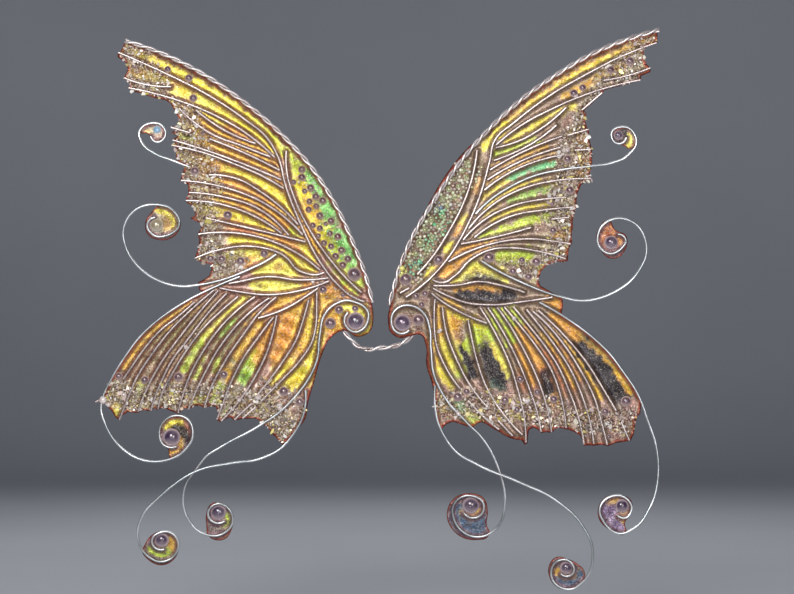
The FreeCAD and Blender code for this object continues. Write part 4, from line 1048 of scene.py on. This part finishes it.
COLOURS = {"left": LEFT_COLOURS, "right": RIGHT_COLOURS}
GROUNDS = {"left": ROSE, "right": TAUPE}
# The last colour of each film, here and for the spiral film below, is the painted shade on the flanks beside
# the wires.
FILMS = {
    "left": film_material("left_iridescent_film", 0.94, "9A6850"),
    "right": film_material("right_iridescent_film", 0.94, "8C7256"),
}
DISC = film_material("disc_film", 0.86, "86606A")
WIRE = wire_material("silver_wire", "EEDDD6", 0.22, 0.38)
TWIST = wire_material("silver_twist", "FFF6F4", 0.3, 0.44, "DCCCCA")
SILVER = wire_material("silver_tendril", "EEE2DE", 0.26, 0.38, "C2B4B2", 0.15,
                       [(0.38, "B0B6B8"), (0.62, "ECEEF0")])
# The second colour of each pearl is its pale rim, used for the painted sheen and the painted light on its
# lower side.
LILAC = pearl_material("lilac_pearl", "44304E", "DCC4CA")
SKY = pearl_material("sky_pearl", "86B4D6", "D8ECF6")
SMOKY = pearl_material("smoky_pearl", "5E404C", "E0C4BE")
AMBER = pearl_material("amber_bead", "5A363E", "DCBCA8")
OPAL = pearl_material("opal_pearl", "9C8A6C", "E6DCCB")
OLIVE_BEAD = pearl_material("olive_bead", "8C8A5C", "DCE6B4")
GLITTER = tinted_material("glitter_chip", 0.3, 0.26, 0.3)
GLASS_BEAD = tinted_material("glass_granule", 0.1, 0.14, 1, 0.08)
GLUE_WHITE = glue_material("dried_glue")


# A CAD node takes the first finish whose words are in its name.
FINISHES = [
    ("strand", TWIST), ("bridge", TWIST), ("_tendril", SILVER), ("left_upper_cabochon", SKY),
    ("left_middle_cabochon", OPAL), ("cabochon", LILAC), ("right_edge_beads", OLIVE_BEAD),
    ("left_edge_beads", AMBER), ("pearls", SMOKY), ("", WIRE)]

for node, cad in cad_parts.items():
    cad.data.materials.clear()
    cad.data.materials.append(next(finish for words, finish in FINISHES if words in node))

for number, side_name in enumerate(SIDES):
    wires = wire_tree(wires_on(side_name))
    film = wing_film(side_name, wires, 11 + number)
    sheet = BVHTree.FromPolygons([v.co / MM for v in film.data.vertices],
                                 [list(p.vertices) for p in film.data.polygons])
    for k, part in enumerate(TENDRILS):
        disc_film(side_name, part, wires, 31 + 10 * number + k)
    flakes(side_name, sheet, 61 + number)
    granules(side_name, sheet, wires, 71 + number)
    glue_drops(side_name, sheet, 81 + number)

    neck_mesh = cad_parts[side_name + "_neck"].data.copy()
    neck = bpy.data.objects.new(side_name + "_soft_neck", neck_mesh)
    scene.collection.objects.link(neck)
    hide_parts(side_name + "_neck")
    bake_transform(neck)


# ---- floor, lights and camera

# In metres from here on.
FLOOR_Z = -0.078
FLOOR_FRONT = -3.0
FLOOR_HALF_WIDTH = 1.6
CURVE_START = 0.56  # where the floor starts to curve up into the wall
CURVE_RADIUS = 0.22
CURVE_STEPS = 24
WALL_TOP = 1.2
CENTRE = Vector((0.00425, 0, 0.01275))  # what the camera looks at
DISTANCE = 0.60
FIELD = 0.1985  # width of the picture at that distance
SENSOR = 36
LIGHTS = [  # (name, place, width, height, power)
    ("key", (-0.12, -0.52, 0.22), 0.24, 0.20, 1.95),
    ("fill", (0.17, -0.52, 0.07), 0.18, 0.20, 0.8),
    ("back", (0, 0.36, 0.26), 0.4, 0.24, 0.72),
]
SKY_COLOUR = (0.80, 0.88, 1, 1)
SKY_LIGHT = 0.10  # strength of the world as a light
SKY_SEEN = 0.26  # and as the camera sees it past the wall


def cyclorama():
    """A pale floor that curves up into the wall behind."""
    profile = [(FLOOR_FRONT, FLOOR_Z), (CURVE_START, FLOOR_Z)]
    for k in range(1, CURVE_STEPS + 1):
        a = math.pi / 2 * k / CURVE_STEPS
        profile.append((CURVE_START + CURVE_RADIUS * math.sin(a), FLOOR_Z + CURVE_RADIUS * (1 - math.cos(a))))
    profile.append((CURVE_START + CURVE_RADIUS, WALL_TOP))
    sides = (-FLOOR_HALF_WIDTH, FLOOR_HALF_WIDTH)
    points = [(x / MM, y / MM, z / MM) for x in sides for y, z in profile]
    n = len(profile)
    faces = [(k, n + k, n + k + 1, k + 1) for k in range(n - 1)]
    material, t = new_material("pale_floor")
    front_only = t.math("SUBTRACT", 1, t.node("NewGeometry").outputs["Backfacing"])
    t.set(Base_Color=t.mix(t.spread(t.noise(0.004, 3), 0.3, 0.7), "B9BCC3", "C4C7CD"),
          Roughness=0.9, Alpha=front_only)
    piece = add_mesh("floor", points, faces, material)


def softbox(name, place, width, height, power):
    """A rectangular light that faces the wings."""
    data = bpy.data.lights.new(name, "AREA")
    data.shape = "RECTANGLE"
    data.size, data.size_y = width, height
    data.energy = power
    light = bpy.data.objects.new(name, data)
    scene.collection.objects.link(light)
    light.location = place
    light.rotation_mode = "QUATERNION"
    light.rotation_quaternion = (CENTRE - Vector(place)).to_track_quat("-Z", "Y")


cyclorama()
for light_settings in LIGHTS:
    softbox(*light_settings)

world = bpy.data.worlds.new("studio")
scene.world = world
world.use_nodes = True
tree = world.node_tree
background = tree.nodes["Background"]
background.inputs["Color"].default_value = SKY_COLOUR
sight = tree.nodes.new("ShaderNodeLightPath")
glow = tree.nodes.new("ShaderNodeMapRange")
glow.inputs["To Min"].default_value = SKY_LIGHT
glow.inputs["To Max"].default_value = SKY_SEEN
tree.links.new(sight.outputs["Is Camera Ray"], glow.inputs["Value"])
tree.links.new(glow.outputs[0], background.inputs["Strength"])

lens = bpy.data.cameras.new("camera")
lens.sensor_width = SENSOR
lens.lens = SENSOR * DISTANCE / FIELD
lens.clip_start = 0.01
lens.clip_end = 20
camera = bpy.data.objects.new("camera", lens)
scene.collection.objects.link(camera)
camera.location = CENTRE + Vector((0, -DISTANCE, 0))
camera.rotation_euler = (math.pi / 2, 0, 0)
scene.camera = camera
scene.view_settings.view_transform = "Standard"
